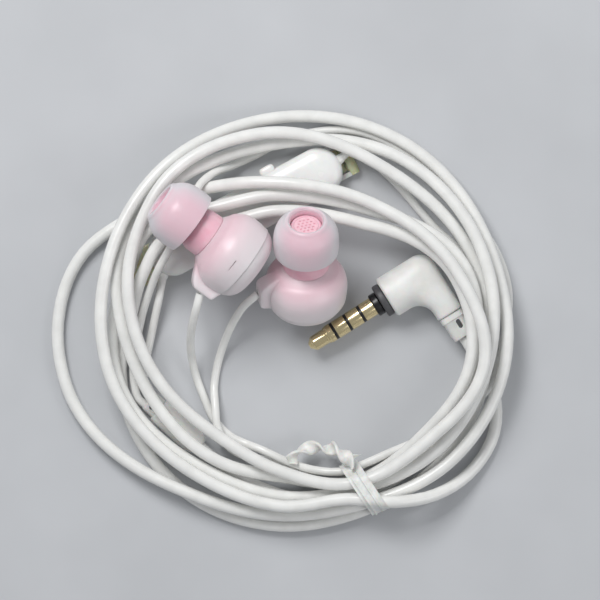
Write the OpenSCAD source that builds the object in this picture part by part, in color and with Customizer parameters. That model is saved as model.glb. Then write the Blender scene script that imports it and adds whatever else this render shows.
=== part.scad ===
// Wired in-ear earphones with an in-line microphone control, coiled and tied.
// Millimetres, +Z up. The origin is on the surface that the set lies on, under
// the middle of the two earbuds, and X runs along the earbuds' common width.

/* [Main cord] */
// outer diameter of the main cord's jacket
cord_d = 2.3; // [1.8:0.1:3.0]
// middle of the coil, along X
coil_x = 10.4; // [0:0.1:20]
// middle of the coil, along Y
coil_y = -11.5; // [-20:0.1:0]
// direction from the coil's middle to where the strands lie closest, degrees
tie_at = -75; // [-180:1:180]
// how far past that place the tie is, degrees
tie_past = 4.8; // [0:0.2:6]
// how far the tie leans from straight across the strands, degrees
tie_lean = 14; // [0:1:20]
// full turns of the coil
coil_turns = 6; // [1:1:6]

/* [Earbud leads] */
// outer diameter of each earbud lead
lead_d = 1.5; // [1.0:0.1:2.0]

/* [Earbud] */
// largest diameter of the housing
bud_d = 15.2; // [12:0.1:18]
// distance from the widest section to the back of the housing
bud_back = 5.5; // [4.5:0.1:7]
// distance from the widest section to the front of the housing
bud_front = 5.4; // [4.5:0.1:8]
// distance from the widest section to the seam of the back cover
seam_back = 2.6; // [2:0.1:3.5]
// wall of the housing
shell_wall = 0.9; // [0.6:0.1:1.4]
// diameter of the pink neck collar
neck_d = 8.6; // [7:0.1:10]
// length of the neck collar in front of the housing
neck_len = 3.8; // [2:0.1:5]
// outer diameter of the nozzle tube
nozzle_d = 5.2; // [4:0.1:6]
// bore of the nozzle tube
nozzle_bore = 3.8; // [2.5:0.1:4.5]
// length of the nozzle tube in front of the collar
nozzle_len = 5.6; // [4:0.1:7]
// distance from the axis to the end of the cable block
block_reach = 9.3; // [8:0.1:11]
// width of the cable block along the nozzle axis
block_w = 3.9; // [3:0.1:5]
// thickness of the cable block
block_t = 3.8; // [3:0.1:5]

/* [Ear tip] */
// outer diameter of the ear tip's skirt
tip_d = 12.1; // [10:0.1:14]
// length of the ear tip
tip_len = 7.4; // [6:0.1:9]
// thickness of the skirt
skirt_t = 0.6; // [0.4:0.05:1.0]
// diameter of the tip's core sleeve
core_d = 7.4; // [6.5:0.1:8.2]
// running clearance between the nozzle's lip and the core, radial
tip_fit = 0.05; // [0.01:0.01:0.1]

/* [Driver] */
// diameter of the driver
driver_d = 10.4; // [8:0.1:12]
// depth of the driver
driver_h = 3.0; // [2:0.1:4]

/* [Plug] */
// diameter of the plug's contacts
pin_d = 3.5; // [2.5:0.5:3.5]
// length of the plug's pin
pin_len = 14; // [12:0.1:16]
// width of each insulating ring
ring_gap = 0.55; // [0.3:0.05:1]
// diameter of the barrel
barrel_d = 8; // [7:0.1:10]
// length of the barrel, from its end face to the elbow's far side
barrel_len = 11; // [9:0.1:14]
// thickness of the elbow
elbow_t = 6.4; // [5:0.1:8]
// width of the elbow's leg
leg_w = 5.1; // [4:0.1:6]
// distance from the barrel's axis to the leg's seam
leg_len = 8.7; // [7:0.1:12]
// length of the strain relief
relief_len = 5; // [3:0.1:8]

/* [In-line control] */
// length of the control's case
ctl_len = 39.8; // [30:0.5:50]
// width of the case
ctl_w = 9.1; // [8:0.1:12]
// thickness of the case
ctl_t = 4.6; // [4:0.1:7]
// wall of the case
ctl_wall = 0.8; // [0.6:0.1:1.2]
// width of the side button
button_w = 3; // [1.5:0.1:4]
// distance that the side button stands out
button_out = 1.1; // [0.8:0.1:2.5]
// travel of the side button
button_travel = 0.3; // [0.1:0.05:0.4]

/* [Clip] */
// length of the clip's plate past the case at the free end
clip_over = 4.2; // [2:0.1:6]
// width of the clip
clip_w = 7; // [5:0.1:9]
// thickness of the clip's plate
clip_t = 0.9; // [0.7:0.05:1.2]
// diameter of the hinge pin
hinge_d = 0.8; // [0.6:0.05:1]

/* [Splitter] */
// width of the splitter
split_w = 5; // [4:0.1:7]
// thickness of the splitter
split_t = 3.6; // [3.2:0.1:5]

/* [Tie] */
// width of each of the two bands
band_w = 1.6; // [1:0.1:3]
// thickness of the bands
band_t = 0.5; // [0.3:0.05:0.8]
// thickness of the twisted tail
tail_d = 1.8; // [1.2:0.1:2]

/* [Hidden] */
$fn = 48;

// ---- colours ----
white = [0.93, 0.93, 0.91];
milky = [0.90, 0.85, 0.87];
pink = [0.93, 0.70, 0.77];
gold = [0.83, 0.66, 0.35];
black = [0.06, 0.06, 0.07];
grey = [0.30, 0.30, 0.32];
steel = [0.70, 0.70, 0.72];
green = [0.10, 0.35, 0.20];
amber = [0.80, 0.76, 0.45];

// ---- places of the pieces: [x, y, z], roll, tilt, yaw ----
left_at = [-2.75, 0.1, 14.5];
left_turn = [0, -10, 143.5];
right_at = [10.75, -5.7, 7.47];
right_turn = [17, -45, 90];
plug_at = [11.4, -16.9, 4.0];
plug_yaw = 32;
ctl_at = [-0.5, 8.0, 3.5];
ctl_yaw = 28.5;
split_at = [-18.4, -27.0, 1.9];
split_yaw = -42.2;

module left_place() translate(left_at) rotate(left_turn) children();
module right_place() translate(right_at) rotate(right_turn) children();
module plug_place() translate(plug_at) rotate([0, 0, plug_yaw]) children();
module ctl_place() translate(ctl_at) rotate([0, 0, ctl_yaw]) children();
module split_place() translate(split_at) rotate([0, 0, split_yaw]) children();

// ---- helpers ----
// a solid of revolution about X from points [distance along X, radius]
module turned(pts, fn = 48)
  rotate([0, 90, 0])
    rotate([0, 0, 90])
      rotate_extrude($fn = fn)
        polygon([for (p = pts) [p[1], p[0]]]);

// a rod along X from x0 to x1
module rod_x(x0, x1, r, fn = 48)
  translate([x0, 0, 0]) rotate([0, 90, 0]) cylinder(r = r, h = x1 - x0, $fn = fn);

// a tube along X
module tube_x(x0, x1, r_out, r_in, fn = 48)
  difference() {
    rod_x(x0, x1, r_out, fn);
    rod_x(x0 - 1, x1 + 1, r_in, fn);
  }

// a rounded box, its edges round in plan only
module pad(l, w, h, r) linear_extrude(h, center = true) rounded(l, w, r);
module rounded(l, w, r) union() {
  square([l - 2 * r, w], center = true);
  square([l, w - 2 * r], center = true);
  for (sx = [-1, 1], sy = [-1, 1])
    translate([sx * (l / 2 - r), sy * (w / 2 - r)]) circle(r);
}

// ---- swept tubes ----
function unit(v) = v / norm(v);
function dir_at(p, i) =
  i == 0 ? unit(p[1] - p[0])
  : i == len(p) - 1 ? unit(p[i] - p[i - 1])
  : unit(unit(p[i + 1] - p[i]) + unit(p[i] - p[i - 1]));
function side_of(t) = unit(cross([0, 0, 1], t));
function ring_at(p, i, r, n) =
  let (t = dir_at(p, i), s = side_of(t), u = cross(t, s))
  [for (k = [0 : n - 1]) let (a = 360 * (k + 0.5) / n) p[i] + r * (cos(a) * s + sin(a) * u)];
module tube_along(p, d, n) {
  m = len(p);
  points = [for (i = [0 : m - 1]) each ring_at(p, i, d / 2, n)];
  sides = [for (i = [0 : m - 2], k = [0 : n - 1]) let (a = i * n + k, b = i * n + (k + 1) % n)
    each [[a, b + n, b], [a, a + n, b + n]]];
  first = [for (k = [1 : n - 2]) [0, k, k + 1]];
  last = [for (k = [1 : n - 2]) [(m - 1) * n, (m - 1) * n + k + 1, (m - 1) * n + k]];
  polyhedron(points = points, faces = concat(sides, first, last));
}

// ---- earbuds: X is the nozzle axis, Y runs to the cable block ----
bud_r = bud_d / 2;
neck_r = neck_d / 2;
// offset of the cable block from the widest section
block_x = 0.5;
// how far out the housing's wall stands, at shares of its depth
front_curve = [[0, 1], [0.2, 0.995], [0.4, 0.96], [0.6, 0.88], [0.75, 0.79], [0.88, 0.68]];
back_curve = [
  [1, 0], [0.995, 0.3], [0.965, 0.52], [0.92, 0.66], [0.85, 0.76], [0.75, 0.845], [0.6, 0.915],
  [0.4, 0.965], [0.2, 0.99]
];
function front_pts(inset) = concat(
  [for (p = front_curve) [p[0] * (bud_front - inset), p[1] * (bud_r - inset)]],
  [[bud_front - inset, neck_r - inset * 0.5]]);
function back_pts(inset) = [for (p = back_curve) [-p[0] * (bud_back - inset), p[1] * (bud_r - inset)]];
module bud_solid(inset)
  turned(concat([[-bud_back + inset, 0]], back_pts(inset), front_pts(inset), [[bud_front - inset, 0]]));
module front_half() translate([-seam_back, -20, -20]) cube(40);
module back_half() translate([-seam_back - 40, -20, -20]) cube(40);
seat_r = neck_r - 1.1;

module bud_front_shell(slit_side) color(milky) difference() {
  intersection() {
    union() {
      bud_solid(0);
      cable_block();
    }
    front_half();
  }
  bud_solid(shell_wall);
  rod_x(0, bud_front + 5, seat_r);
  bud_grommet_hole();
  translate([-0.4, -1.7, slit_side * bud_r]) cube([0.4, 3, 3], center = true);
}
module cable_block()
  translate([block_x, 0, 0]) rotate([-90, 0, 0])
    linear_extrude(block_reach) rounded(block_w, block_t, 0.8);
grommet_r = lead_d / 2 + 0.5;
grommet_in = 1.4;
grommet_out = 0.8;
module bud_grommet_hole()
  translate([block_x, bud_r - 4, 0]) rotate([-90, 0, 0]) cylinder(r = grommet_r, h = 10);
module bud_grommet() color(white)
  translate([block_x, bud_r - grommet_in, 0]) rotate([-90, 0, 0])
    cylinder(r = grommet_r, h = block_reach + grommet_out - bud_r + grommet_in);

tongue = 0.8;
module bud_back_cover() color(milky) union() {
  difference() {
    intersection() {
      bud_solid(0);
      back_half();
    }
    bud_solid(shell_wall);
  }
  intersection() {
    difference() {
      turned([[-seam_back - 0.6, 5], [-seam_back - 0.6, cover_r], [-seam_back + tongue, cover_r], [-seam_back + tongue, 5]]);
      bud_solid(shell_wall + tongue);
    }
    bud_solid(shell_wall);
  }
}
cover_r = bud_r - shell_wall;

// pink insert: a flange inside the housing, the collar and the nozzle tube
collar_end = bud_front + neck_len;
nozzle_end = collar_end + nozzle_len;
lip_h = 0.35;
lip_r = nozzle_d / 2 + lip_h;
root_len = 2.2;
flange_x = bud_front - shell_wall;
module bud_nozzle() color(pink) turned([
  [flange_x - 0.8, nozzle_bore / 2], [flange_x - 0.8, seat_r + 0.6], [flange_x - 0.05, seat_r + 0.6],
  [flange_x - 0.05, seat_r], [bud_front, seat_r], [bud_front, neck_r],
  [bud_front + 0.7 * neck_len, neck_r - 0.1], [collar_end, neck_r - 0.7], [collar_end, lip_r],
  [collar_end + root_len, lip_r], [collar_end + root_len + lip_h, nozzle_d / 2],
  [nozzle_end - 1.6, nozzle_d / 2], [nozzle_end - 1.3, lip_r],
  [nozzle_end - 0.9, lip_r], [nozzle_end, nozzle_d / 2 - 0.2],
  [nozzle_end, nozzle_bore / 2 + 0.3], [nozzle_end - 0.5, nozzle_bore / 2 + 0.3],
  [nozzle_end - 0.5, nozzle_bore / 2]
]);

// perforated grille let into the end of the nozzle
hole_d = 0.45;
hole_pitch = 0.78;
module bud_grille() color(pink) difference() {
  rod_x(nozzle_end - 0.5, nozzle_end - 0.1, nozzle_bore / 2 + 0.3);
  for (i = [-2 : 2], j = [-2 : 2]) if (abs(i + j) <= 2)
    translate([nozzle_end - 1, (i + j / 2) * hole_pitch, j * hole_pitch * sqrt(3) / 2])
      rotate([0, 90, 0]) cylinder(d = hole_d, h = 2, $fn = 16);
}

// driver: frame, magnet, voice coil and diaphragm
driver_x = -1.6;
module bud_driver_frame() color(steel) difference() {
  rod_x(driver_x, driver_x + driver_h, driver_d / 2);
  rod_x(driver_x + 0.5, driver_x + driver_h + 1, driver_d / 2 - 0.5);
}
magnet_h = 1.2;
module bud_driver_magnet() color(grey) rod_x(driver_x + 0.5, driver_x + 0.5 + magnet_h, driver_d * 0.28);
module bud_voice_coil() color(gold)
  tube_x(driver_x + 0.9, driver_x + driver_h - 0.6, driver_d * 0.28 + 0.55, driver_d * 0.28 + 0.15);
module bud_diaphragm() color(amber) difference() {
  turned([[driver_x + driver_h - 0.6, 0], [driver_x + driver_h - 0.6, driver_d / 2 - 0.5],
    [driver_x + driver_h - 0.35, driver_d / 2 - 0.5], [driver_x + driver_h - 0.35, driver_d * 0.3],
    [driver_x + driver_h, driver_d * 0.15], [driver_x + driver_h, 0]]);
}

// ear tip: a sleeve on the nozzle and the soft skirt round it
tip_x = collar_end + 0.3;
tip_end = tip_x + tip_len;
core_r = core_d / 2;
tip_r = tip_d / 2;
// the core's bore runs on the nozzle's lip and on the thick root of its tube
bore_r = lip_r + tip_fit;
module tip_core() color(pink) difference() {
  turned([[tip_x + 0.6, 0], [tip_x + 0.6, core_r - 0.5], [tip_x + 1.2, core_r],
    [tip_end - 1.6, core_r], [tip_end - 0.6, core_r - 0.35], [tip_end - 0.1, core_r - 0.9], [tip_end - 0.1, 0]]);
  rod_x(0, tip_end + 1, bore_r);
}
// how far the skirt's outside lies within its full radius, at shares of its length
skirt_curve = [[0, 0.1], [0.12, 0], [0.36, 0], [0.54, 0.15], [0.7, 0.55], [0.82, 1.15], [0.92, 1.85]];
module tip_skirt() color(milky) turned(concat(
  [for (q = skirt_curve) [tip_x + q[0] * tip_len, tip_r - q[1]]],
  [[tip_end - 0.15, core_r + 0.15], [tip_end, core_r - 0.2], [tip_end - 0.2, core_r - 0.6],
   [tip_end - 0.6, core_r - 0.35], [tip_end - 1.6, core_r], [tip_end - 1.75, core_r]],
  [for (i = [5 : -1 : 0]) let (q = skirt_curve[i])
    [tip_x + q[0] * tip_len - 0.45 * skirt_t * q[1], tip_r - q[1] - skirt_t]]));

module left_front_shell() left_place() bud_front_shell(1);
module left_back_cover() left_place() bud_back_cover();
module left_nozzle() left_place() bud_nozzle();
module left_grille() left_place() bud_grille();
module left_driver_frame() left_place() bud_driver_frame();
module left_driver_magnet() left_place() bud_driver_magnet();
module left_voice_coil() left_place() bud_voice_coil();
module left_diaphragm() left_place() bud_diaphragm();
module left_grommet() left_place() bud_grommet();
module left_tip_core() left_place() tip_core();
module left_tip_skirt() left_place() tip_skirt();
module right_front_shell() right_place() bud_front_shell(-1);
module right_back_cover() right_place() bud_back_cover();
module right_nozzle() right_place() bud_nozzle();
module right_grille() right_place() bud_grille();
module right_driver_frame() right_place() bud_driver_frame();
module right_driver_magnet() right_place() bud_driver_magnet();
module right_voice_coil() right_place() bud_voice_coil();
module right_diaphragm() right_place() bud_diaphragm();
module right_grommet() right_place() bud_grommet();
module right_tip_core() right_place() tip_core();
module right_tip_skirt() right_place() tip_skirt();

// ---- plug: X runs from the pin's point to the barrel, Y away from the leg ----
pin_r = pin_d / 2;
core_pin_r = 0.8;
tip_len_pin = 5.1;
ring_len = (pin_len - tip_len_pin - 3 * ring_gap) / 3;
ins_1 = tip_len_pin;
con_1 = ins_1 + ring_gap;
ins_2 = con_1 + ring_len;
con_2 = ins_2 + ring_gap;
ins_3 = con_2 + ring_len;
con_3 = ins_3 + ring_gap;
collar_x = pin_len + 1.4;
barrel_x = collar_x + 1.4;
barrel_r = barrel_d / 2;
elbow_x = barrel_x + barrel_len;
leg_x = elbow_x - leg_w / 2;

module plug_tip() color(gold) plug_place() union() {
  turned([[0, 0], [0, 0.5], [0.85, pin_r - 0.4], [1, pin_r - 0.3], [3.8, pin_r - 0.3],
    [4.2, pin_r], [tip_len_pin, pin_r], [tip_len_pin, 0]]);
  rod_x(tip_len_pin - 0.1, collar_x + 3, core_pin_r);
}
module plug_band(x0, len_x, c) color(c) plug_place() tube_x(x0, x0 + len_x, pin_r, core_pin_r);
module plug_insulator_1() plug_band(ins_1, ring_gap, black);
module plug_ring_1() plug_band(con_1, ring_len, gold);
module plug_insulator_2() plug_band(ins_2, ring_gap, black);
module plug_ring_2() plug_band(con_2, ring_len, gold);
module plug_insulator_3() plug_band(ins_3, ring_gap, black);
module plug_sleeve() plug_band(con_3, pin_len - con_3, gold);
module plug_shoulder() color(black) plug_place()
  tube_x(pin_len, collar_x, pin_r + 0.45, core_pin_r);
module plug_collar() color(grey) plug_place()
  tube_x(collar_x, barrel_x, barrel_r - 0.8, core_pin_r);
module elbow_outline() union() {
  translate([barrel_x + 5, -barrel_r + 0.3]) square([barrel_len - 8.5, 2 * barrel_r - 0.6]);
  translate([elbow_x - 4, barrel_r - 4.3]) circle(4);
  translate([elbow_x - leg_w, -leg_len]) square([leg_w, leg_len]);
  difference() {
    translate([elbow_x - leg_w - 1.6, -barrel_r - 1.3]) square([1.7, 2]);
    translate([elbow_x - leg_w - 1.6, -barrel_r - 1.3]) circle(1.6);
  }
}
module plug_elbow() color(white) plug_place() difference() {
  union() {
    turned([[barrel_x, 0], [barrel_x, barrel_r - 0.3], [barrel_x + 0.3, barrel_r],
      [barrel_x + 6.5, barrel_r], [barrel_x + 7.5, elbow_t / 2], [barrel_x + 7.5, 0]]);
    linear_extrude(elbow_t, center = true) elbow_outline();
  }
  rod_x(barrel_x - 1, collar_x + 3, core_pin_r);
}
relief_end = leg_len + relief_len;
module plug_relief() color(white) plug_place()
  translate([leg_x, -leg_len, 0]) rotate([90, 0, 0]) difference() {
    cylinder(r1 = leg_w / 2 - 0.25, r2 = cord_d / 2 + 0.35, h = relief_len);
    for (a = [0, 90]) rotate([0, 0, a]) translate([0, 0, relief_len * 0.55])
      cube([0.9, 9, 1.7], center = true);
  }

// ---- in-line control: X along the case ----
module ctl_solid(inset) {
  l = ctl_len - 2 * inset;
  w = ctl_w - 2 * inset;
  t = ctl_t - 2 * inset;
  intersection() {
    linear_extrude(t, center = true) hull() for (s = [-1, 1])
      translate([s * (l - w) / 2, 0]) circle(w / 2, $fn = 48);
    rotate([0, 90, 0]) linear_extrude(l, center = true) rounded(t, w, t / 2 - 0.01);
  }
}
ctl_split = -0.9;
button_x = 7.2;
module button_hole(gap) translate([button_x, ctl_w / 2 - 2.2, 0.2])
  rotate([-90, 0, 0]) linear_extrude(6) rounded(button_w + 2 * gap, 2 + 2 * gap, 0.5);
function boot_end(b, out_by) = b[0] + (b[2] + out_by) * [cos(b[1]), sin(b[1]), 0];
// each boot: where it starts inside the case, its direction and its length
boot_len = 2.8;
boot_left = [[-15.2, -1.5, ctl_at[2]], 258, boot_len];
boot_right = [[15.2, 16.4, ctl_at[2]], 38, boot_len];
boot_r = lead_d / 2 + 0.5;
module boot_rod(b, r) translate(b[0]) rotate([0, 90, b[1]]) cylinder(r = r, h = b[2]);
module ctl_half(top) difference() {
  ctl_place() difference() {
    intersection() {
      ctl_solid(0);
      translate([-50, -50, top ? ctl_split : ctl_split - 50]) cube([100, 100, 50]);
    }
    ctl_solid(ctl_wall);
    button_hole(0.15);
    if (top) translate([-8, 0, 0]) cylinder(d = 0.9, h = 10, $fn = 24);
  }
  boot_rod(boot_left, boot_r);
  boot_rod(boot_right, boot_r);
}
module control_front_shell() color(white) ctl_half(true);
module control_back_shell() color(white) union() {
  ctl_half(false);
  ctl_place() for (s = [-1, 1]) hinge_lug(s);
}
module control_boot_lower() color(white) boot_rod(boot_left, boot_r);
module control_boot_upper() color(white) boot_rod(boot_right, boot_r);
board_t = 0.8;
board_z = -0.6;
// the button reaches so far into the case; pressed, it stops short of the switch
button_in = 1.4;
button_back = ctl_w / 2 - button_in;
switch_gap = 0.35;
switch_w = 1.4;
module control_board() color(green) ctl_place()
  translate([0, 0, board_z]) pad(ctl_len - 9, ctl_w - 4.6, board_t, 1.5);
module control_microphone() color(steel) ctl_place()
  translate([-8, 0, board_z + board_t / 2 + 0.5]) pad(3, 2, 1, 0.2);
module control_switch() color(steel) ctl_place()
  translate([button_x, button_back - button_travel - switch_gap - switch_w / 2, board_z + board_t / 2 + 0.4])
    cube([2.2, switch_w, 0.8], center = true);
module control_button() color(white) ctl_place() {
  translate([button_x, button_back, 0.2]) rotate([-90, 0, 0])
    linear_extrude(button_in + button_out) rounded(button_w, 2, 0.45);
}

// ---- clip under the control, hinged at the end nearer the button ----
hinge_x = ctl_len / 2 + 1.3;
clip_z = -ctl_at[2] + 0.1;
hinge_z = clip_z + 0.95;
knuckle_r = 0.95;
lug_r = 0.8;
// the hood that the clip's plate ends in runs round the hinge, from below its
// outer side to just past its top
hood_r = 1.3;
hood_in = 0.95;
hood_to = 115;
lug_w = 0.9;
lug_y = clip_w / 2 - lug_w / 2;
// the lugs' arms run back so far under the case, this thick and this far over the hinge's axis
arm_len = 6.3;
arm_t = 0.45;
arm_up = 0.15;
module hinge_lug(s) difference() {
  union() {
    translate([hinge_x, s * lug_y, hinge_z]) rotate([90, 0, 0])
      cylinder(r = lug_r, h = lug_w, center = true, $fn = 32);
    translate([hinge_x - arm_len, s * lug_y - lug_w / 2, hinge_z + arm_up])
      cube([arm_len, lug_w, arm_t]);
  }
  translate([hinge_x, s * lug_y, hinge_z]) rotate([90, 0, 0])
    cylinder(r = hinge_d / 2, h = 3, center = true);
}
clip_free = -ctl_len / 2 - clip_over;
module clip_hood() translate([hinge_x, 0, hinge_z]) rotate([90, 0, 0])
  linear_extrude(clip_w, center = true) polygon(concat(
    [for (a = [-46 : 7 : hood_to]) hood_r * [cos(a), sin(a)]],
    [for (a = [hood_to : -7 : -72]) hood_in * [cos(a), sin(a)]]));
module control_clip() color(amber) ctl_place() difference() {
  union() {
    translate([(hinge_x + clip_free) / 2, 0, clip_z + clip_t / 2])
      pad(hinge_x - clip_free, clip_w - 2 * lug_w - 0.6, clip_t, 1.2);
    translate([(clip_free + hinge_x - 8) / 2, 0, clip_z + clip_t / 2])
      pad(hinge_x - 8 - clip_free, clip_w, clip_t, 2.5);
    for (s = [-1, 1]) translate([hinge_x, s * 1.7, hinge_z]) rotate([90, 0, 0])
      cylinder(r = knuckle_r, h = 1.4, center = true, $fn = 32);
    clip_hood();
  }
  translate([hinge_x, 0, hinge_z]) rotate([90, 0, 0])
    cylinder(r = hinge_d / 2 + 0.05, h = clip_w, center = true);
  translate([hinge_x, 0, hinge_z]) rotate([90, 0, 0])
    cylinder(r = knuckle_r - 0.05, h = 2.1, center = true);
}
module clip_pin() color(steel) ctl_place()
  translate([hinge_x, 0, hinge_z]) rotate([90, 0, 0]) cylinder(d = hinge_d, h = clip_w, center = true);
module clip_spring() color(steel) ctl_place() translate([hinge_x, 0, hinge_z]) rotate([90, 0, 0])
  difference() {
    cylinder(r = lug_r, h = 1.8, center = true);
    cylinder(r = hinge_d / 2 + 0.05, h = 3, center = true);
  }

// ---- splitter: X from the leads' end to the main cord's end ----
split_len = 12.8;
split_apart = 2.1;
relief_x = 2.4;
module split_body(l, w, t) rotate([90, 0, 90]) linear_extrude(l) rounded(w, t, t / 2 - 0.01);
module splitter_body() color(white) split_place()
  translate([relief_x, 0, 0]) split_body(split_len - relief_x, split_w, split_t);
module splitter_relief() color(white) split_place() difference() {
  split_body(relief_x, split_w - 1, split_t - 0.8);
  translate([relief_x / 2, 0, 0]) cube([0.9, 2.2, 9], center = true);
}

// ---- where cords meet the pieces that hold them ----
// a vector turned about X, then Y, then Z, as rotate() does it
function turned_by(a, v) =
  let (x = [v[0], v[1] * cos(a[0]) - v[2] * sin(a[0]), v[1] * sin(a[0]) + v[2] * cos(a[0])],
       y = [x[0] * cos(a[1]) + x[2] * sin(a[1]), x[1], x[2] * cos(a[1]) - x[0] * sin(a[1])])
  [y[0] * cos(a[2]) - y[1] * sin(a[2]), y[0] * sin(a[2]) + y[1] * cos(a[2]), y[2]];
// points straight out of the plug's strain relief and out of the splitter's ends
function plug_out(out_by) =
  plug_at + turned_by([0, 0, plug_yaw], [leg_x, -relief_end - out_by, 0]);
function split_out(out_by) = split_at + turned_by([0, 0, split_yaw], [split_len + out_by, 0, 0]);
function split_in(side, out_by) =
  split_at + turned_by([0, 0, split_yaw], [-out_by, side * split_apart / 2, 0]);
// a point as [turned, out, high] round the coil, on the turn that starts at t0
function run_at(t0, p) =
  let (a = tie_at - atan2(p[1] - coil_y, p[0] - coil_x))
  [t0 + (a > 180 ? a - 360 : a), norm([p[0] - coil_x, p[1] - coil_y]), p[2]];

// ---- the coil ----
// The cord winds clockwise. Each turn crosses the tie in its own slot, and at
// twelve spokes round the coil it lies so far out from the middle and so high.
// Distance and height run smoothly between the spokes.
spokes = [22, 45, 90, 105, 120, 135, 150, 180, 225, 270, 300, 330];
slot = [[34.8, 7.1], [36.2, 4.5], [31.9, 7.1], [37.6, 1.9], [31.8, 1.9], [33.3, 4.5], [34.7, 1.9]];
out = [
  [35.2, 35.2, 37.5, 37.6, 37.6, 37.8, 38.0, 37.4, 37.3, 36.8, 38.2, 38.0],
  [37.0, 38.6, 46.0, 45.6, 43.0, 37.0, 32.0, 25.8, 24.4, 29.6, 34.3, 32.2],
  [29.0, 27.2, 30.2, 31.9, 33.6, 34.8, 36.0, 35.0, 31.3, 33.4, 35.0, 36.9],
  [39.0, 39.4, 35.2, 32.2, 30.9, 29.4, 23.9, 20.3, 20.2, 28.8, 31.8, 31.0],
  [29.9, 31.0, 32.6, 34.0, 35.8, 36.3, 34.8, 32.6, 34.4, 35.1, 35.0, 34.7],
  [33.5, 33.6, 36.3, 35.3, 33.6, 33.0, 27.6, 23.3, 23.1, 31.4, 32.4, 33.6]
];
high = [
  [7.3, 7.2, 8.0, 8.5, 8.5, 7.8, 6.8, 3.0, 2.2, 4.4, 6.0, 5.6],
  [4.3, 4.2, 1.4, 1.2, 1.3, 2.2, 4.2, 9.2, 9.8, 11.9, 11.4, 9.6],
  [7.3, 7.2, 9.0, 9.2, 9.4, 9.3, 9.0, 6.7, 6.2, 4.6, 5.2, 2.9],
  [1.6, 1.2, 1.2, 3.1, 6.8, 7.8, 7.5, 7.7, 7.7, 8.9, 9.4, 6.3],
  [3.7, 5.8, 6.4, 6.9, 6.4, 5.4, 6.0, 3.8, 4.1, 7.5, 8.0, 7.0],
  [4.5, 4.4, 4.2, 3.8, 4.1, 7.2, 7.6, 7.8, 6.6, 6.9, 6.6, 4.1]
];
// from the plug to the tie, and from the tie to the splitter: [turned, out, high]
lead_in = [
  [-60.3, 33.5, 2.4], [-56.4, 36.2, 1.3],
  [-48, 40.1, 1.2], [-32, 42.2, 1.8], [-21, 40.8, 5.0], [-13, 38.6, 7.6]
];
run_out = [[24, 33.2, 1.6], [36, 32.0, 1.7]];
whole = 360 * coil_turns;
knots = concat(
  [run_at(0, plug_out(0)), run_at(0, plug_out(cord_d))],
  lead_in,
  [for (k = [0 : coil_turns - 1]) each concat(
    [concat([360 * k], slot[k])],
    [for (j = [0 : len(spokes) - 1]) [360 * k + spokes[j], out[k][j], high[k][j]]])],
  [concat([whole], slot[coil_turns])],
  [for (e = run_out) [whole + e[0], e[1], e[2]]],
  [run_at(whole, split_out(cord_d)), run_at(whole, split_out(0))]
);
last_knot = len(knots) - 1;
// slope at knot i of column c, weighted by the neighbouring steps
function rise(i, c) = (knots[i + 1][c] - knots[i][c]) / (knots[i + 1][0] - knots[i][0]);
function slope(i, c) =
  i == 0 ? rise(0, c)
  : i == last_knot ? rise(last_knot - 1, c)
  : let (a = knots[i][0] - knots[i - 1][0], b = knots[i + 1][0] - knots[i][0])
    (rise(i - 1, c) * b + rise(i, c) * a) / (a + b);
function find(t, i = 0) = i >= last_knot - 1 || knots[i + 1][0] > t ? i : find(t, i + 1);
function smooth(t, c) =
  let (i = find(t), h = knots[i + 1][0] - knots[i][0], u = (t - knots[i][0]) / h)
  (2 * u^3 - 3 * u^2 + 1) * knots[i][c] + (u^3 - 2 * u^2 + u) * h * slope(i, c)
  + (3 * u^2 - 2 * u^3) * knots[i + 1][c] + (u^3 - u^2) * h * slope(i + 1, c);
function polar(t, r, z) = [coil_x + r * cos(tie_at - t), coil_y + r * sin(tie_at - t), z];
function coil_point(t) = polar(t, smooth(t, 1), max(cord_d / 2, smooth(t, 2)));
// rings: closer on the way out of the plug, then 24 to a turn
ring_turns = concat(
  [knots[0][0], knots[1][0], -60.3, -56.4, -52.5],
  [for (t = [-45 : 7.5 : -7.5]) t],
  [for (t = [0 : 15 : whole + 45]) t],
  [knots[last_knot - 1][0], knots[last_knot][0]]
);
coil_points = [for (t = ring_turns) coil_point(t)];
module main_cord_coil() color(white) tube_along(coil_points, cord_d, 6);

// least gap of the coil to itself, measured between its points and the
// straight runs between other points at least 60 degrees of turning away
function to_run(q, a, b) =
  let (w = b - a, s = max(0, min(1, (q - a) * w / (w * w)))) norm(q - a - s * w);
coil_gap = min([for (i = [0 : len(coil_points) - 1], j = [0 : len(coil_points) - 2])
  if (abs(ring_turns[i] - ring_turns[j]) > 60 && abs(ring_turns[i] - ring_turns[j + 1]) > 60)
    to_run(coil_points[i], coil_points[j], coil_points[j + 1])]) - cord_d;

// ---- the earbud leads: points chosen along their routes ----
plain_round = [
  [84, 33.8, 2.1], [90, 32.8, 2.1], [98, 31.2, 2.1], [107, 29.9, 3.0], [116, 28.9, 5.3],
  [125, 28.2, 8.4], [133, 27.8, 9.5], [140, 28.0, 9.7], [151, 29.6, 9.3], [157, 31.2, 7.2],
  [162, 31.5, 5.5], [170, 31.1, 2.5], [177, 31.3, 1.1], [190, 33.3, 0.8], [210, 35.8, 0.8],
  [232, 35.9, 0.8], [254, 36.1, 0.8], [265, 37.6, 0.8], [277, 38.3, 0.8], [289, 37.5, 1.6],
  [297, 37.0, 3.2], [304, 36.8, 3.5], [310, 35.9, 2.3], [318, 34.2, 1.7], [326, 32.4, 2.3],
  [335, 30.7, 2.6], [343, 29.7, 3.0], [351, 29.4, 3.4], [360, 29.5, 3.6], [372, 28.3, 3.1],
  [382, 26.9, 3.1]
];
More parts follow.
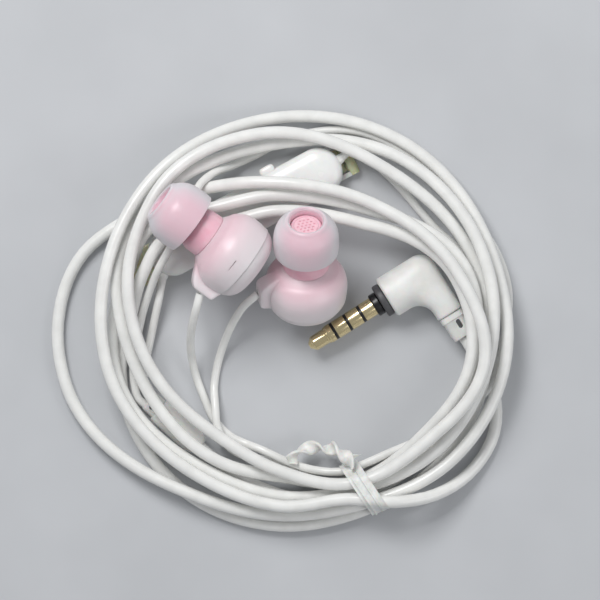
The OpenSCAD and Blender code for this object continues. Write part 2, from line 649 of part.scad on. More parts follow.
plain_end = [
  [2.0, -35.9, 2.4], [-0.4, -35.0, 1.2], [-3.0, -33.8, 0.8], [-6.5, -30.2, 0.8],
  [-8.0, -26.9, 0.8], [-9.6, -22.6, 1.1], [-10.3, -19.4, 3.0], [-10.5, -16.4, 6.4],
  [-10.5, -13.7, 10.2], [-10.3, -11.4, 13.0]
];
mic_low = [
  [-19.3, -23.4, 1.6], [-19.1, -20.0, 1.2],
  [-18.3, -16.3, 1.4], [-17.3, -11.6, 2.2], [-16.5, -7.9, 3.2]
];
mic_up_start = [
  [19.7, 18.7, 3.3], [21.2, 18.3, 2.6], [23.2, 17.2, 1.3], [25.4, 15.4, 0.8],
  [28.2, 12.6, 0.8], [31.7, 8.5, 0.8], [35.0, 4.1, 0.8], [38.3, -0.2, 0.8]
];
mic_up_round = [
  [260, 31.0, 0.8], [272, 32.2, 0.8], [284, 32.6, 0.8], [294, 32.6, 0.8], [304, 32.2, 0.8],
  [315, 31.8, 0.8], [325, 31.3, 0.8], [335, 30.8, 0.8], [343, 30.2, 1.1], [351, 29.6, 1.6],
  [360, 29.5, 1.8], [372, 28.6, 1.3], [382, 27.8, 0.9]
];
mic_up_end = [
  [2.0, -37.8, 0.9], [-0.2, -37.4, 1.2], [-2.4, -36.5, 2.0], [-4.4, -34.6, 2.7],
  [-5.7, -31.7, 2.8], [-6.1, -28.0, 2.3], [-6.3, -24.3, 0.9], [-5.7, -20.4, 0.8],
  [-4.6, -16.7, 2.2], [-3.4, -13.6, 4.8], [-2.0, -11.0, 7.6], [-0.6, -9.2, 9.6]
];
function round_coil(rows) = [for (q = rows) polar(q[0], q[1], q[2])];

// a point straight out of an earbud's grommet
function bud_exit(at, turn, out_by) =
  at + turned_by(turn, [block_x, block_reach + grommet_out + out_by, 0]);

module lead_plain() color(white) tube_along(
  concat([split_in(-1, 0), split_in(-1, lead_d)], round_coil(plain_round), plain_end,
    [bud_exit(left_at, left_turn, lead_d), bud_exit(left_at, left_turn, 0)]), lead_d, 8);
module lead_mic_lower() color(white) tube_along(
  concat([split_in(1, 0), split_in(1, lead_d)], mic_low, [boot_end(boot_left, lead_d), boot_end(boot_left, 0)]), lead_d, 8);
module lead_mic_upper() color(white) tube_along(
  concat([boot_end(boot_right, 0), boot_end(boot_right, lead_d)], mic_up_start,
    round_coil(mic_up_round), mic_up_end,
    [bud_exit(right_at, right_turn, lead_d), bud_exit(right_at, right_turn, 0)]), lead_d, 8);

// ---- tie: two bands round the bundle, and its twisted tail ----
tie_gap = 0.12;
// a leaning plane cuts the strands longer than they are wide
aslant = tie_gap + cord_d / 2 * (1 / cos(tie_past + tie_lean) - 1);
// a point on the tie's middle plane, amid the strands, and how far they lie from it at most
tie_r = 34.2;
tie_reach = 15;
tie_dir = tie_at + tie_past + tie_lean;
tie_x = coil_x + tie_r * cos(tie_at + tie_past);
tie_y = coil_y + tie_r * sin(tie_at + tie_past);
// a point in the tie's own directions: outwards, along the cord, and up
function at_tie(p) =
  let (v = [p[0] - tie_x, p[1] - tie_y])
  [v[0] * cos(tie_dir) + v[1] * sin(tie_dir), v[0] * sin(tie_dir) - v[1] * cos(tie_dir), p[2]];
// where a cord's runs cross the plane at u along the cord: [out, up]
function crossings(p, u) = [for (i = [0 : len(p) - 2])
  let (a = at_tie(p[i]), b = at_tie(p[i + 1]))
  if (abs(a[0]) < tie_reach && (a[1] - u) * (b[1] - u) <= 0 && a[1] != b[1])
    let (c = a + (b - a) * (u - a[1]) / (b[1] - a[1])) [c[0], c[2]]];
module bundle_outline(u0, grow) hull() for (u = [u0 - band_w / 2, u0, u0 + band_w / 2]) {
  for (c = crossings(coil_points, u)) translate(c) circle(cord_d / 2 + aslant + grow, $fn = 24);
  for (c = crossings(round_coil(plain_round), u)) translate(c) circle(lead_d / 2 + aslant + grow, $fn = 24);
  for (c = crossings(round_coil(mic_up_round), u)) translate(c) circle(lead_d / 2 + aslant + grow, $fn = 24);
}
module band(u) translate([tie_x, tie_y, 0]) rotate([0, 0, tie_dir]) rotate([90, 0, 0])
  translate([0, 0, u - band_w / 2]) linear_extrude(band_w) difference() {
    bundle_outline(u, band_t);
    bundle_outline(u, 0);
  }
module tie_band() color(white) for (s = [-1, 1]) band(s * (band_w / 2 + 0.2));
tail = [
  [21.0, -37.7, 6.3], [20.0, -36.5, 6.0], [18.6, -35.5, 5.2], [16.9, -35.4, 4.4], [14.9, -36.1, 3.8],
  [12.6, -35.7, 3.6], [10.6, -36.0, 3.8], [8.9, -37.0, 4.6], [7.7, -38.6, 5.0]
];
module tie_tail() color(white) tube_along(tail, tail_d, 8);

echo(coil_rings = len(coil_points), coil_gap = coil_gap);
left_front_shell();
left_back_cover();
left_nozzle();
left_grille();
left_driver_frame();
left_driver_magnet();
left_voice_coil();
left_diaphragm();
left_grommet();
left_tip_core();
left_tip_skirt();
right_front_shell();
right_back_cover();
right_nozzle();
right_grille();
right_driver_frame();
right_driver_magnet();
right_voice_coil();
right_diaphragm();
right_grommet();
right_tip_core();
right_tip_skirt();
plug_tip();
plug_insulator_1();
plug_ring_1();
plug_insulator_2();
plug_ring_2();
plug_insulator_3();
plug_sleeve();
plug_shoulder();
plug_collar();
plug_elbow();
plug_relief();
control_front_shell();
control_back_shell();
control_boot_lower();
control_boot_upper();
control_board();
control_microphone();
control_switch();
control_button();
control_clip();
clip_pin();
clip_spring();
splitter_body();
splitter_relief();
main_cord_coil();
lead_plain();
lead_mic_lower();
lead_mic_upper();
tie_band();
tie_tail();
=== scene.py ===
"""Wired in-ear earphones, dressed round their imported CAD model.

Lengths are in millimetres in the model's own frame, +Z up, the set lying on
z = 0, and turned to metres where a mesh is made. Each new piece is a surface
worked out on a grid of two parameters.
"""

import math

import bmesh
import bpy
import numpy as np
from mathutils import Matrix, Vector
from mathutils.geometry import delaunay_2d_cdt


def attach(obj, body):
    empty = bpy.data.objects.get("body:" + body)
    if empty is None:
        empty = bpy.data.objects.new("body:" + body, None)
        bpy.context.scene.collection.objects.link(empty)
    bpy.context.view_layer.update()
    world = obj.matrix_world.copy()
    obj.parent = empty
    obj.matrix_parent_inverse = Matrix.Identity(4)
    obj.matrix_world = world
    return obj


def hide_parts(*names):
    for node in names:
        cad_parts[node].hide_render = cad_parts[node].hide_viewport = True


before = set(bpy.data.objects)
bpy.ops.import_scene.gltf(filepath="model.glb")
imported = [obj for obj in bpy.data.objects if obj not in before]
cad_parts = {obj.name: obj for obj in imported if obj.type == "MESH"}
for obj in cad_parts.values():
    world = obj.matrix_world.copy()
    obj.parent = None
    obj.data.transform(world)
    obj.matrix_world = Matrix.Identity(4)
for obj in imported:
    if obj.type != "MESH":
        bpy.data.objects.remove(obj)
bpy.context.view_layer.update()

MM = 0.001

# ---- sizes
CORD_D = 2.3
LEAD_D = 1.5
COIL_MIDDLE = np.array([10.4, -11.5])
TIE_AT = -75.0
TIE_R = 34.2
TIE_PAST = 4.8
TIE_LEAN = 14.0

BUD_R = 7.6
BUD_BACK = 5.5
BUD_FRONT = 5.4
SEAM_BACK = 2.6
SEAM_HALF = 0.004
SHELL_WALL = 0.9
NECK_R = 4.3
NECK_LEN = 3.8
NOZZLE_R = 2.6
NOZZLE_BORE = 1.9
NOZZLE_LEN = 5.6
LIP_R = 2.95
GRILLE_R = 2.2
HOLE_R = 0.225
HOLE_PITCH = 0.78
BLOCK_X = 0.5
BLOCK_REACH = 9.3
BLOCK_T = 3.8
BLOCK_FRONT, FADE_FRONT = 1.3, 3.4
BLOCK_BACK, FADE_BACK = 1.9, 1.5
GLOW_X, GLOW_R, GLOW_SPREAD = 3.2, 4.4, 2.6
TIP_R = 6.05
TIP_LEN = 7.4
SKIRT_T = 0.6
CORE_R = 3.7
CORE_BORE = 3.0

PIN_R = 1.75
PIN_LEN = 14.0
RING_GAP = 0.55
BARREL_R = 4.0
BARREL_LEN = 11.0
ELBOW_T = 6.4
LEG_W = 5.1
LEG_LEN = 8.7
RELIEF_LEN = 5.0

CTL_LEN = 39.8
CTL_W = 9.1
CTL_T = 4.6
CTL_SPLIT = -0.9
CTL_WALL = 0.8
BUTTON_X = 7.2
BUTTON_W = 3.0
BUTTON_OUT = 1.1
BUTTON_Z = 0.2
CLIP_OVER = 4.2
CLIP_W = 7.0
CLIP_T = 0.9
HINGE_X = CTL_LEN / 2 + 1.3
HINGE_Z = -2.45
LUG_Y = 3.05

SPLIT_LEN = 12.8
SPLIT_APART = 2.1

TIE_GAP = 0.12 + CORD_D / 2 * (1 / math.cos(math.radians(TIE_PAST + TIE_LEAN)) - 1)

# ---- places: [x, y, z], turn
LEFT = ([-2.75, 0.1, 14.5], [0, -10, 143.5])
RIGHT = ([10.75, -5.7, 7.47], [17, -45, 90])
PLUG = ([11.4, -16.9, 4.0], [0, 0, 32])
CONTROL = ([-0.5, 8.0, 3.5], [0, 0, 28.5])
SPLITTER = ([-18.4, -27.0, 1.9], [0, 0, -42.2])


def turn_matrix(turn):
    """Rotation about X, then Y, then Z, by angles in degrees."""
    a, b, c = np.radians(turn)
    about_x = np.array([[1, 0, 0], [0, math.cos(a), -math.sin(a)], [0, math.sin(a), math.cos(a)]])
    about_y = np.array([[math.cos(b), 0, math.sin(b)], [0, 1, 0], [-math.sin(b), 0, math.cos(b)]])
    about_z = np.array([[math.cos(c), -math.sin(c), 0], [math.sin(c), math.cos(c), 0], [0, 0, 1]])
    return about_z @ about_y @ about_x


def placed(points, place):
    """Points of a piece's own frame, put in their place in the set."""
    return np.asarray(points, float) @ turn_matrix(place[1]).T + np.array(place[0])


# ---- meshes
def turns(count):
    """Even angles once round."""
    return np.linspace(0, 2 * np.pi, count, endpoint=False)


def circle(count):
    """Points of a unit circle at even angles."""
    return np.column_stack([np.cos(turns(count)), np.sin(turns(count))])


def lattice(*columns):
    """A grid of points from arrays of their coordinates, spread to one shape."""
    return np.stack(np.broadcast_arrays(*columns), -1)


def added(name, data):
    """A new object in the scene."""
    made = bpy.data.objects.new(name, data)
    bpy.context.scene.collection.objects.link(made)
    return made


def mesh_piece(name, points, faces, smooth_angle=35.0):
    """A mesh object, smooth but for edges sharper than smooth_angle."""
    mesh = bpy.data.meshes.new(name)
    mesh.from_pydata((np.asarray(points) * MM).tolist(), [], [list(f) for f in faces])
    mesh.validate()
    mesh.shade_smooth()
    mesh.set_sharp_from_angle(angle=math.radians(smooth_angle))
    return added(name, mesh)


def grid_faces(rows, columns, round_rows=False, round_columns=False):
    """Quads of a grid of points stored row by row, joined round where asked."""
    r = np.arange(rows if round_rows else rows - 1)[:, None]
    c = np.arange(columns if round_columns else columns - 1)[None, :]
    r2, c2 = (r + 1) % rows, (c + 1) % columns
    quads = [r * columns + c, r * columns + c2, r2 * columns + c2, r2 * columns + c]
    return lattice(*quads).reshape(-1, 4).tolist()


def capped(rows, count, flip=False):
    """The faces of a tube of rings, with a flat cap on each end."""
    caps = [list(range(count))[::-1], list(range((rows - 1) * count, rows * count))]
    return grid_faces(rows, count, round_columns=True) + [c[::-1] if flip else c for c in caps]


def frames_along(path):
    """Unit tangents of a path and two unit directions across it, each carried on
    from the one before and squared up."""
    path = np.asarray(path, float)
    tangent = np.gradient(path, axis=0)
    tangent /= np.linalg.norm(tangent, axis=1)[:, None]
    side = np.empty_like(path)
    side[0] = np.cross([0, 0, 1], tangent[0]) if abs(tangent[0][2]) < 0.9 else [1, 0, 0]
    side[0] /= np.linalg.norm(side[0])
    for i in range(1, len(path)):
        carried = side[i - 1] - tangent[i] * (side[i - 1] @ tangent[i])
        side[i] = carried / np.linalg.norm(carried)
    return tangent, side, np.cross(tangent, side)


def tube(name, path, radius, sides=18, squash=1.0):
    """A closed tube: at each point of the path a ring p + r (cos a s + sin a u),
    with one r or an r for each point."""
    path = np.asarray(path, float)
    _, side, up = frames_along(path)
    r = np.broadcast_to(radius, len(path))[:, None, None]
    a = turns(sides)[None, :, None]
    rings = path[:, None] + r * (np.cos(a) * side[:, None] + squash * np.sin(a) * up[:, None])
    return mesh_piece(name, rings.reshape(-1, 3), capped(len(path), sides))


def turned(name, profile, place, sides=96, closed=False):
    """A surface of revolution about the piece's X axis: a point (x, r) of the
    profile goes to (x, r cos a, r sin a). A closed profile joins its two ends."""
    profile = np.asarray(profile, float)
    a = turns(sides)
    x, r = profile[:, :1], profile[:, 1:]
    grid = lattice(x, r * np.cos(a), r * np.sin(a))
    return solid(name, grid, grid_faces(len(profile), sides, closed, True), place)


def cleaned(piece):
    """Merges doubled points, drops flat faces and points every face outwards."""
    bm = bmesh.new()
    bm.from_mesh(piece.data)
    bmesh.ops.remove_doubles(bm, verts=bm.verts, dist=2e-7)
    bmesh.ops.dissolve_degenerate(bm, edges=bm.edges, dist=1e-7)
    bmesh.ops.recalc_face_normals(bm, faces=bm.faces)
    bm.to_mesh(piece.data)
    bm.free()
    return piece


def solid(name, points, faces, place, smooth_angle=35.0):
    """A cleaned mesh from points of a piece's own frame, put in its place."""
    points = placed(np.reshape(points, (-1, 3)), place)
    return cleaned(mesh_piece(name, points, faces, smooth_angle))


def rounded(points, radius, steps=5):
    """An open profile, its corners replaced by quadratic curves that start and
    end at the given distance from them."""
    points = [np.array(p, float) for p in points]
    out = [points[0]]
    u = np.linspace(0, 1, steps + 1)[:, None]
    for p, q, s in zip(points, points[1:], points[2:]):
        r = min(radius, 0.45 * np.linalg.norm(q - p), 0.45 * np.linalg.norm(s - q))
        a = q + (p - q) / np.linalg.norm(p - q) * r
        b = q + (s - q) / np.linalg.norm(s - q) * r
        out.extend((1 - u) ** 2 * a + 2 * u * (1 - u) * q + u ** 2 * b)
    out.append(points[-1])
    return np.array(out)


def past(x0, *steps):
    """Profile points, each by its distance past x0 and its radius."""
    return [[x0 + x, r] for x, r in steps]


def hermite(t, v, at):
    """The values v at t, joined by cubic Hermite pieces and read at places. The
    slopes come from the neighbours, weighted by the steps between them."""
    h = np.diff(t)
    rate = np.diff(v, axis=0) / h[:, None]
    slope = np.vstack([rate[:1], (rate[:-1] * h[1:, None] + rate[1:] * h[:-1, None])
                       / (h[1:] + h[:-1])[:, None], rate[-1:]])
    i = np.clip(np.searchsorted(t, at, side="right") - 1, 0, len(t) - 2)
    u, h = ((at - t[i]) / h[i])[:, None], h[i][:, None]
    return ((2 * u ** 3 - 3 * u ** 2 + 1) * v[i] + (u ** 3 - 2 * u ** 2 + u) * h * slope[i]
            + (3 * u ** 2 - 2 * u ** 3) * v[i + 1] + (u ** 3 - u ** 2) * h * slope[i + 1])


def spline(points, per_step=8):
    """A smooth curve through points, with equal steps between each two."""
    p = np.asarray(points, float)
    t = np.concatenate([[0], np.cumsum(np.linalg.norm(np.diff(p, axis=0), axis=1))])
    steps = np.arange((len(p) - 1) * per_step + 1) / per_step
    return hermite(t, p, np.interp(steps, np.arange(len(p)), t))


# ---- cord routes
SPOKES = [22, 45, 90, 105, 120, 135, 150, 180, 225, 270, 300, 330]
SLOT = [[34.8, 7.1], [36.2, 4.5], [31.9, 7.1], [37.6, 1.9], [31.8, 1.9], [33.3, 4.5], [34.7, 1.9]]
OUT = [
    [35.2, 35.2, 37.5, 37.6, 37.6, 37.8, 38, 37.4, 37.3, 36.8, 38.2, 38],
    [37, 38.6, 46, 45.6, 43, 37, 32, 25.8, 24.4, 29.6, 34.3, 32.2],
    [29, 27.2, 30.2, 31.9, 33.6, 34.8, 36, 35, 31.3, 33.4, 35, 36.9],
    [39, 39.4, 35.2, 32.2, 30.9, 29.4, 23.9, 20.3, 20.2, 28.8, 31.8, 31],
    [29.9, 31, 32.6, 34, 35.8, 36.3, 34.8, 32.6, 34.4, 35.1, 35, 34.7],
    [33.5, 33.6, 36.3, 35.3, 33.6, 33, 27.6, 23.3, 23.1, 31.4, 32.4, 33.6],
]
HIGH = [
    [7.3, 7.2, 8, 8.5, 8.5, 7.8, 6.8, 3, 2.2, 4.4, 6, 5.6],
    [4.3, 4.2, 1.4, 1.2, 1.3, 2.2, 4.2, 9.2, 9.8, 11.9, 11.4, 9.6],
    [7.3, 7.2, 9, 9.2, 9.4, 9.3, 9, 6.7, 6.2, 4.6, 5.2, 2.9],
    [1.6, 1.2, 1.2, 3.1, 6.8, 7.8, 7.5, 7.7, 7.7, 8.9, 9.4, 6.3],
    [3.7, 5.8, 6.4, 6.9, 6.4, 5.4, 6, 3.8, 4.1, 7.5, 8, 7],
    [4.5, 4.4, 4.2, 3.8, 4.1, 7.2, 7.6, 7.8, 6.6, 6.9, 6.6, 4.1],
]
LEAD_IN = [[-60.3, 33.5, 2.4], [-56.4, 36.2, 1.3], [-48, 40.1, 1.2],
           [-32, 42.2, 1.8], [-21, 40.8, 5.0], [-13, 38.6, 7.6]]
RUN_OUT = [[24, 33.2, 1.6], [36, 32.0, 1.7]]
WHOLE = 360 * len(OUT)
LEG_X = PIN_LEN + 2.8 + BARREL_LEN - LEG_W / 2
RELIEF_END = LEG_LEN + RELIEF_LEN


def plug_out(out_by):
    """A point straight out of the plug's strain relief."""
    return placed([LEG_X, -RELIEF_END - out_by, 0], PLUG)


def split_out(out_by):
    """A point straight out of the splitter's end for the main cord."""
    return placed([SPLIT_LEN + out_by, 0, 0], SPLITTER)


def split_in(side, out_by):
    """A point straight out of the splitter's end for one lead."""
    return placed([-out_by, side * SPLIT_APART / 2, 0], SPLITTER)


def bud_exit(place):
    """Where an earbud's lead comes out of its block."""
    return placed([BLOCK_X, BLOCK_REACH + 0.1, 0], place)


def boot_end(x, y, yaw, out_by):
    """A point straight out of one of the control's boots."""
    reach = 2.8 + out_by
    return np.array([x + reach * math.cos(math.radians(yaw)),
                     y + reach * math.sin(math.radians(yaw)), CONTROL[0][2]])


def polar(turned_by, out, high):
    """Points so far round from the tie, out from the coil's middle and up."""
    a = np.radians(TIE_AT - turned_by)
    return np.array([COIL_MIDDLE[0] + out * np.cos(a), COIL_MIDDLE[1] + out * np.sin(a), high])


def run_at(t0, p):
    """A point as [turned, out, high] round the coil, on the turn starting at t0."""
    x, y = p[0] - COIL_MIDDLE[0], p[1] - COIL_MIDDLE[1]
    a = TIE_AT - math.degrees(math.atan2(y, x))
    return [t0 + (a - 360 if a > 180 else a), math.hypot(x, y), p[2]]


def coil_route():
    """The coil's centreline: polar(t, out, high), with out and high running
    smoothly over the angle t from knot to knot."""
    knots = [run_at(0, plug_out(0)), run_at(0, plug_out(CORD_D))] + LEAD_IN
    for k, (outs, highs) in enumerate(zip(OUT, HIGH)):
        knots.append([360 * k] + SLOT[k])
        knots += [[360 * k + s, o, h] for s, o, h in zip(SPOKES, outs, highs)]
    knots.append([WHOLE] + SLOT[-1])
    knots += [[WHOLE + t, o, h] for t, o, h in RUN_OUT]
    knots += [run_at(WHOLE, split_out(CORD_D)), run_at(WHOLE, split_out(0))]
    k = np.array(knots, float)
    t = k[:, 0]
    at = np.concatenate([np.linspace(t[0], t[1], 5)[:-1], np.arange(t[1] + 1, t[-2], 2.5),
                         np.linspace(t[-2], t[-1], 5)])
    out, high = hermite(t, k[:, 1:], at).T
    return polar(at, out, np.maximum(CORD_D / 2, high)).T


PLAIN_ROUND = [
    [84, 33.8, 2.1], [90, 32.8, 2.1], [98, 31.2, 2.1], [107, 29.9, 3], [116, 28.9, 5.3],
    [125, 28.2, 8.4], [133, 27.8, 9.5], [140, 28, 9.7], [151, 29.6, 9.3], [157, 31.2, 7.2],
    [162, 31.5, 5.5], [170, 31.1, 2.5], [177, 31.3, 1.1], [190, 33.3, 0.8], [210, 35.8, 0.8],
    [232, 35.9, 0.8], [254, 36.1, 0.8], [265, 37.6, 0.8], [277, 38.3, 0.8], [289, 37.5, 1.6],
    [297, 37, 3.2], [304, 36.8, 3.5], [310, 35.9, 2.3], [318, 34.2, 1.7], [326, 32.4, 2.3],
    [335, 30.7, 2.6], [343, 29.7, 3], [351, 29.4, 3.4], [360, 29.5, 3.6], [372, 28.3, 3.1],
    [382, 26.9, 3.1],
]
PLAIN_END = [
    [2, -35.9, 2.4], [-0.4, -35, 1.2], [-3, -33.8, 0.8], [-6.5, -30.2, 0.8], [-8, -26.9, 0.8],
    [-9.4, -23.3, 1.1], [-10.3, -19.8, 3], [-10.6, -16.8, 6.2], [-10.4, -14.0, 9.7],
    [-9.9, -11.6, 12.4], [-9.3, -9.4, 14.1],
]
MIC_LOW = [[-19.3, -23.4, 1.6], [-19.1, -20.0, 1.2], [-18.3, -16.3, 1.4],
           [-17.3, -11.6, 2.2], [-16.5, -7.9, 3.2]]
MIC_UP_START = [
    [19.7, 18.7, 3.3], [21.2, 18.3, 2.6], [23.2, 17.2, 1.3], [25.4, 15.4, 0.8],
    [28.2, 12.6, 0.8], [31.7, 8.5, 0.8], [35, 4.8, 0.8],
]
MIC_UP_ROUND = [
    [260, 31, 0.8], [272, 32.2, 0.8], [284, 32.6, 0.8], [294, 32.6, 0.8], [304, 32.2, 0.8],
    [315, 31.8, 0.8], [325, 31.3, 0.8], [335, 30.8, 0.8], [343, 30.2, 1.1], [351, 29.6, 1.6],
    [360, 29.5, 1.8], [372, 28.6, 1.3], [382, 27.8, 0.9],
]
MIC_UP_END = [
    [2, -37.8, 0.9], [-0.2, -37.4, 1.2], [-2.4, -36.5, 2], [-4.4, -34.6, 2.7], [-5.7, -31.7, 2.8],
    [-6.1, -28, 2.3], [-6.3, -24.3, 0.9], [-5.7, -20.4, 0.8], [-4.6, -16.7, 2.2], [-3.4, -13.8, 4.8],
    [-2.1, -11.4, 7.2], [-0.6, -9.3, 9.1], [1.0, -7.9, 9.75],
]
BOOT_LOW = (-15.2, -1.5, 258)
BOOT_UP = (15.2, 16.4, 38)


plain_path = spline([split_in(-1, 0), split_in(-1, LEAD_D),
                     *(polar(*row) for row in PLAIN_ROUND), *PLAIN_END, bud_exit(LEFT)])[::-1]
low_path = spline([split_in(1, 0), split_in(1, LEAD_D), *MIC_LOW,
                   boot_end(*BOOT_LOW, LEAD_D), boot_end(*BOOT_LOW, 0)])[::-1]
up_path = spline([boot_end(*BOOT_UP, 0), boot_end(*BOOT_UP, LEAD_D), *MIC_UP_START,
                  *(polar(*row) for row in MIC_UP_ROUND), *MIC_UP_END, bud_exit(RIGHT)])[::-1]
coil_path = coil_route()[::-1]


# ---- materials
def linear(code):
    """An sRGB hex colour as linear red, green, blue and alpha."""
    srgb = [int(code[i:i + 2], 16) / 255 for i in (0, 2, 4)]
    return [c / 12.92 if c <= 0.04045 else ((c + 0.055) / 1.055) ** 2.4 for c in srgb] + [1.0]


def node(tree, kind, settings=None, **inputs):
    """Adds a node with its properties and inputs. An input is named with _ for
    a space, or i and its number; a socket is linked to it, a value is set."""
    made = tree.nodes.new(kind)
    for key, value in (settings or {}).items():
        setattr(made, key, value)
    for key, value in inputs.items():
        socket = made.inputs[int(key[1:]) if key[1:].isdigit() else key.replace("_", " ")]
        if isinstance(value, bpy.types.NodeSocket):
            tree.links.new(value, socket)
        else:
            socket.default_value = value
    return made


def material(name, colour, roughness, scatter=(), **sockets):
    """A Principled material with its uniform values. Returns the material, its
    tree, the shader and the coordinates."""
    made = bpy.data.materials.new(name)
    made.use_nodes = True
    tree = made.node_tree
    shader = tree.nodes["Principled BSDF"]
    shader.inputs["Base Color"].default_value = linear(colour)
    shader.inputs["Roughness"].default_value = roughness
    for key, value in zip(("Weight", "Scale", "Radius"), scatter):
        shader.inputs["Subsurface " + key].default_value = value
    for key, value in sockets.items():
        shader.inputs[key.replace("_", " ")].default_value = value
    return made, tree, shader, node(tree, "ShaderNodeTexCoord").outputs["Object"]


def cells(tree, coords, size, detail):
    """Noise with cells of the given size in millimetres."""
    made = node(tree, "ShaderNodeTexNoise", Vector=coords, Scale=1 / (size * MM), Detail=detail)
    return made.outputs["Fac"]


def coloured(tree, shader, value, *stops):
    """Sets the base colour from a value, between two (position, colour) stops."""
    ramp = node(tree, "ShaderNodeValToRGB", Fac=value)
    for element, (position, code) in zip(ramp.color_ramp.elements, stops):
        element.position, element.color = position, linear(code)
    tree.links.new(ramp.outputs["Color"], shader.inputs["Base Color"])


def rough_between(tree, shader, value, low, high):
    """Sets the roughness from a value, between two ends."""
    spread = node(tree, "ShaderNodeMapRange", Value=value, To_Min=low, To_Max=high)
    tree.links.new(spread.outputs["Result"], shader.inputs["Roughness"])


def bumped(tree, shader, height, depth, strength=0.4):
    """Bump of so many millimetres depth from a height between 0 and 1."""
    bump = node(tree, "ShaderNodeBump", Height=height, Distance=depth * MM, Strength=strength)
    tree.links.new(bump.outputs["Normal"], shader.inputs["Normal"])


def milky_shell():
    """Translucent polycarbonate with a satin face: milky lilac-white at its
    rims, with the pink insert glowing through near the nozzle."""
    made, tree, shader, coords = material(
        "satin_polycarbonate", "ECE0E4", 0.38, (0.55, 0.0016, (1.0, 0.82, 0.86)), IOR=1.55,
        Coat_Weight=0.12, Coat_Roughness=0.3)
    glow = node(tree, "ShaderNodeAttribute", {"attribute_name": "glow"})
    coloured(tree, shader, glow.outputs["Fac"], (0, "E9DFE2"), (1, "F5C9D3"))
    bumped(tree, shader, cells(tree, coords, 0.25, 2.0), 0.01, 0.2)
    return made


def clear_silicone():
    """Milky silicone rubber, moulded: square on, the pink core shows through as
    a blur; aslant, the rubber is thicker and milkier."""
    made, tree, shader, coords = material(
        "milky_silicone", "F2DDE3", 0.34, (0.5, 0.0012, (1.0, 0.85, 0.88)), IOR=1.41,
        Transmission_Weight=0.12, Coat_Weight=0.12, Coat_Roughness=0.25)
    aslant = node(tree, "ShaderNodeLayerWeight", Blend=0.45)
    coloured(tree, shader, aslant.outputs["Facing"], (0.1, "F5D0DA"), (0.5, "ECE5EA"))
    bumped(tree, shader, cells(tree, coords, 0.6, 2.0), 0.015, 0.2)
    return made


def gold_plating():
    """Gold-plated brass: bright warm metal with turning marks drawn 0.12 mm
    apart, coarser than real ones, so that they show."""
    made, tree, shader, coords = material("gold_plating", "EBDAAC", 0.2, Metallic=1.0)
    rough_between(tree, shader, cells(tree, coords, 0.6, 3.0), 0.17, 0.25)
    lathe = node(tree, "ShaderNodeAttribute", {"attribute_name": "along"})
    marks = node(tree, "ShaderNodeMath", {"operation": "SINE"},
                 i0=node(tree, "ShaderNodeMath", {"operation": "MULTIPLY"},
                         i0=lathe.outputs["Fac"], i1=2 * math.pi / 0.12).outputs[0])
    bumped(tree, shader, marks.outputs[0], 0.0005, 0.04)
    return made


def moulded(name, colour, roughness, cell, pair, spread=None, scatter=(), grain=None, **sockets):
    """A plain or moulded finish: cloudy variation of a cell size between two
    colours and two roughnesses, scattering of (weight, scale, radius for each
    primary), and a grain of (size, detail, depth, strength)."""
    made, tree, shader, coords = material(name, colour, roughness, scatter, **sockets)
    cloud = cells(tree, coords, cell, 3.0)
    coloured(tree, shader, cloud, (0.35, pair[0]), (0.65, pair[1]))
    rough_between(tree, shader, cloud, *(spread or (roughness - 0.05, roughness + 0.07)))
    if grain:
        size, detail, depth, strength = grain
        bumped(tree, shader, cells(tree, coords, size, detail), depth, strength)
    return made


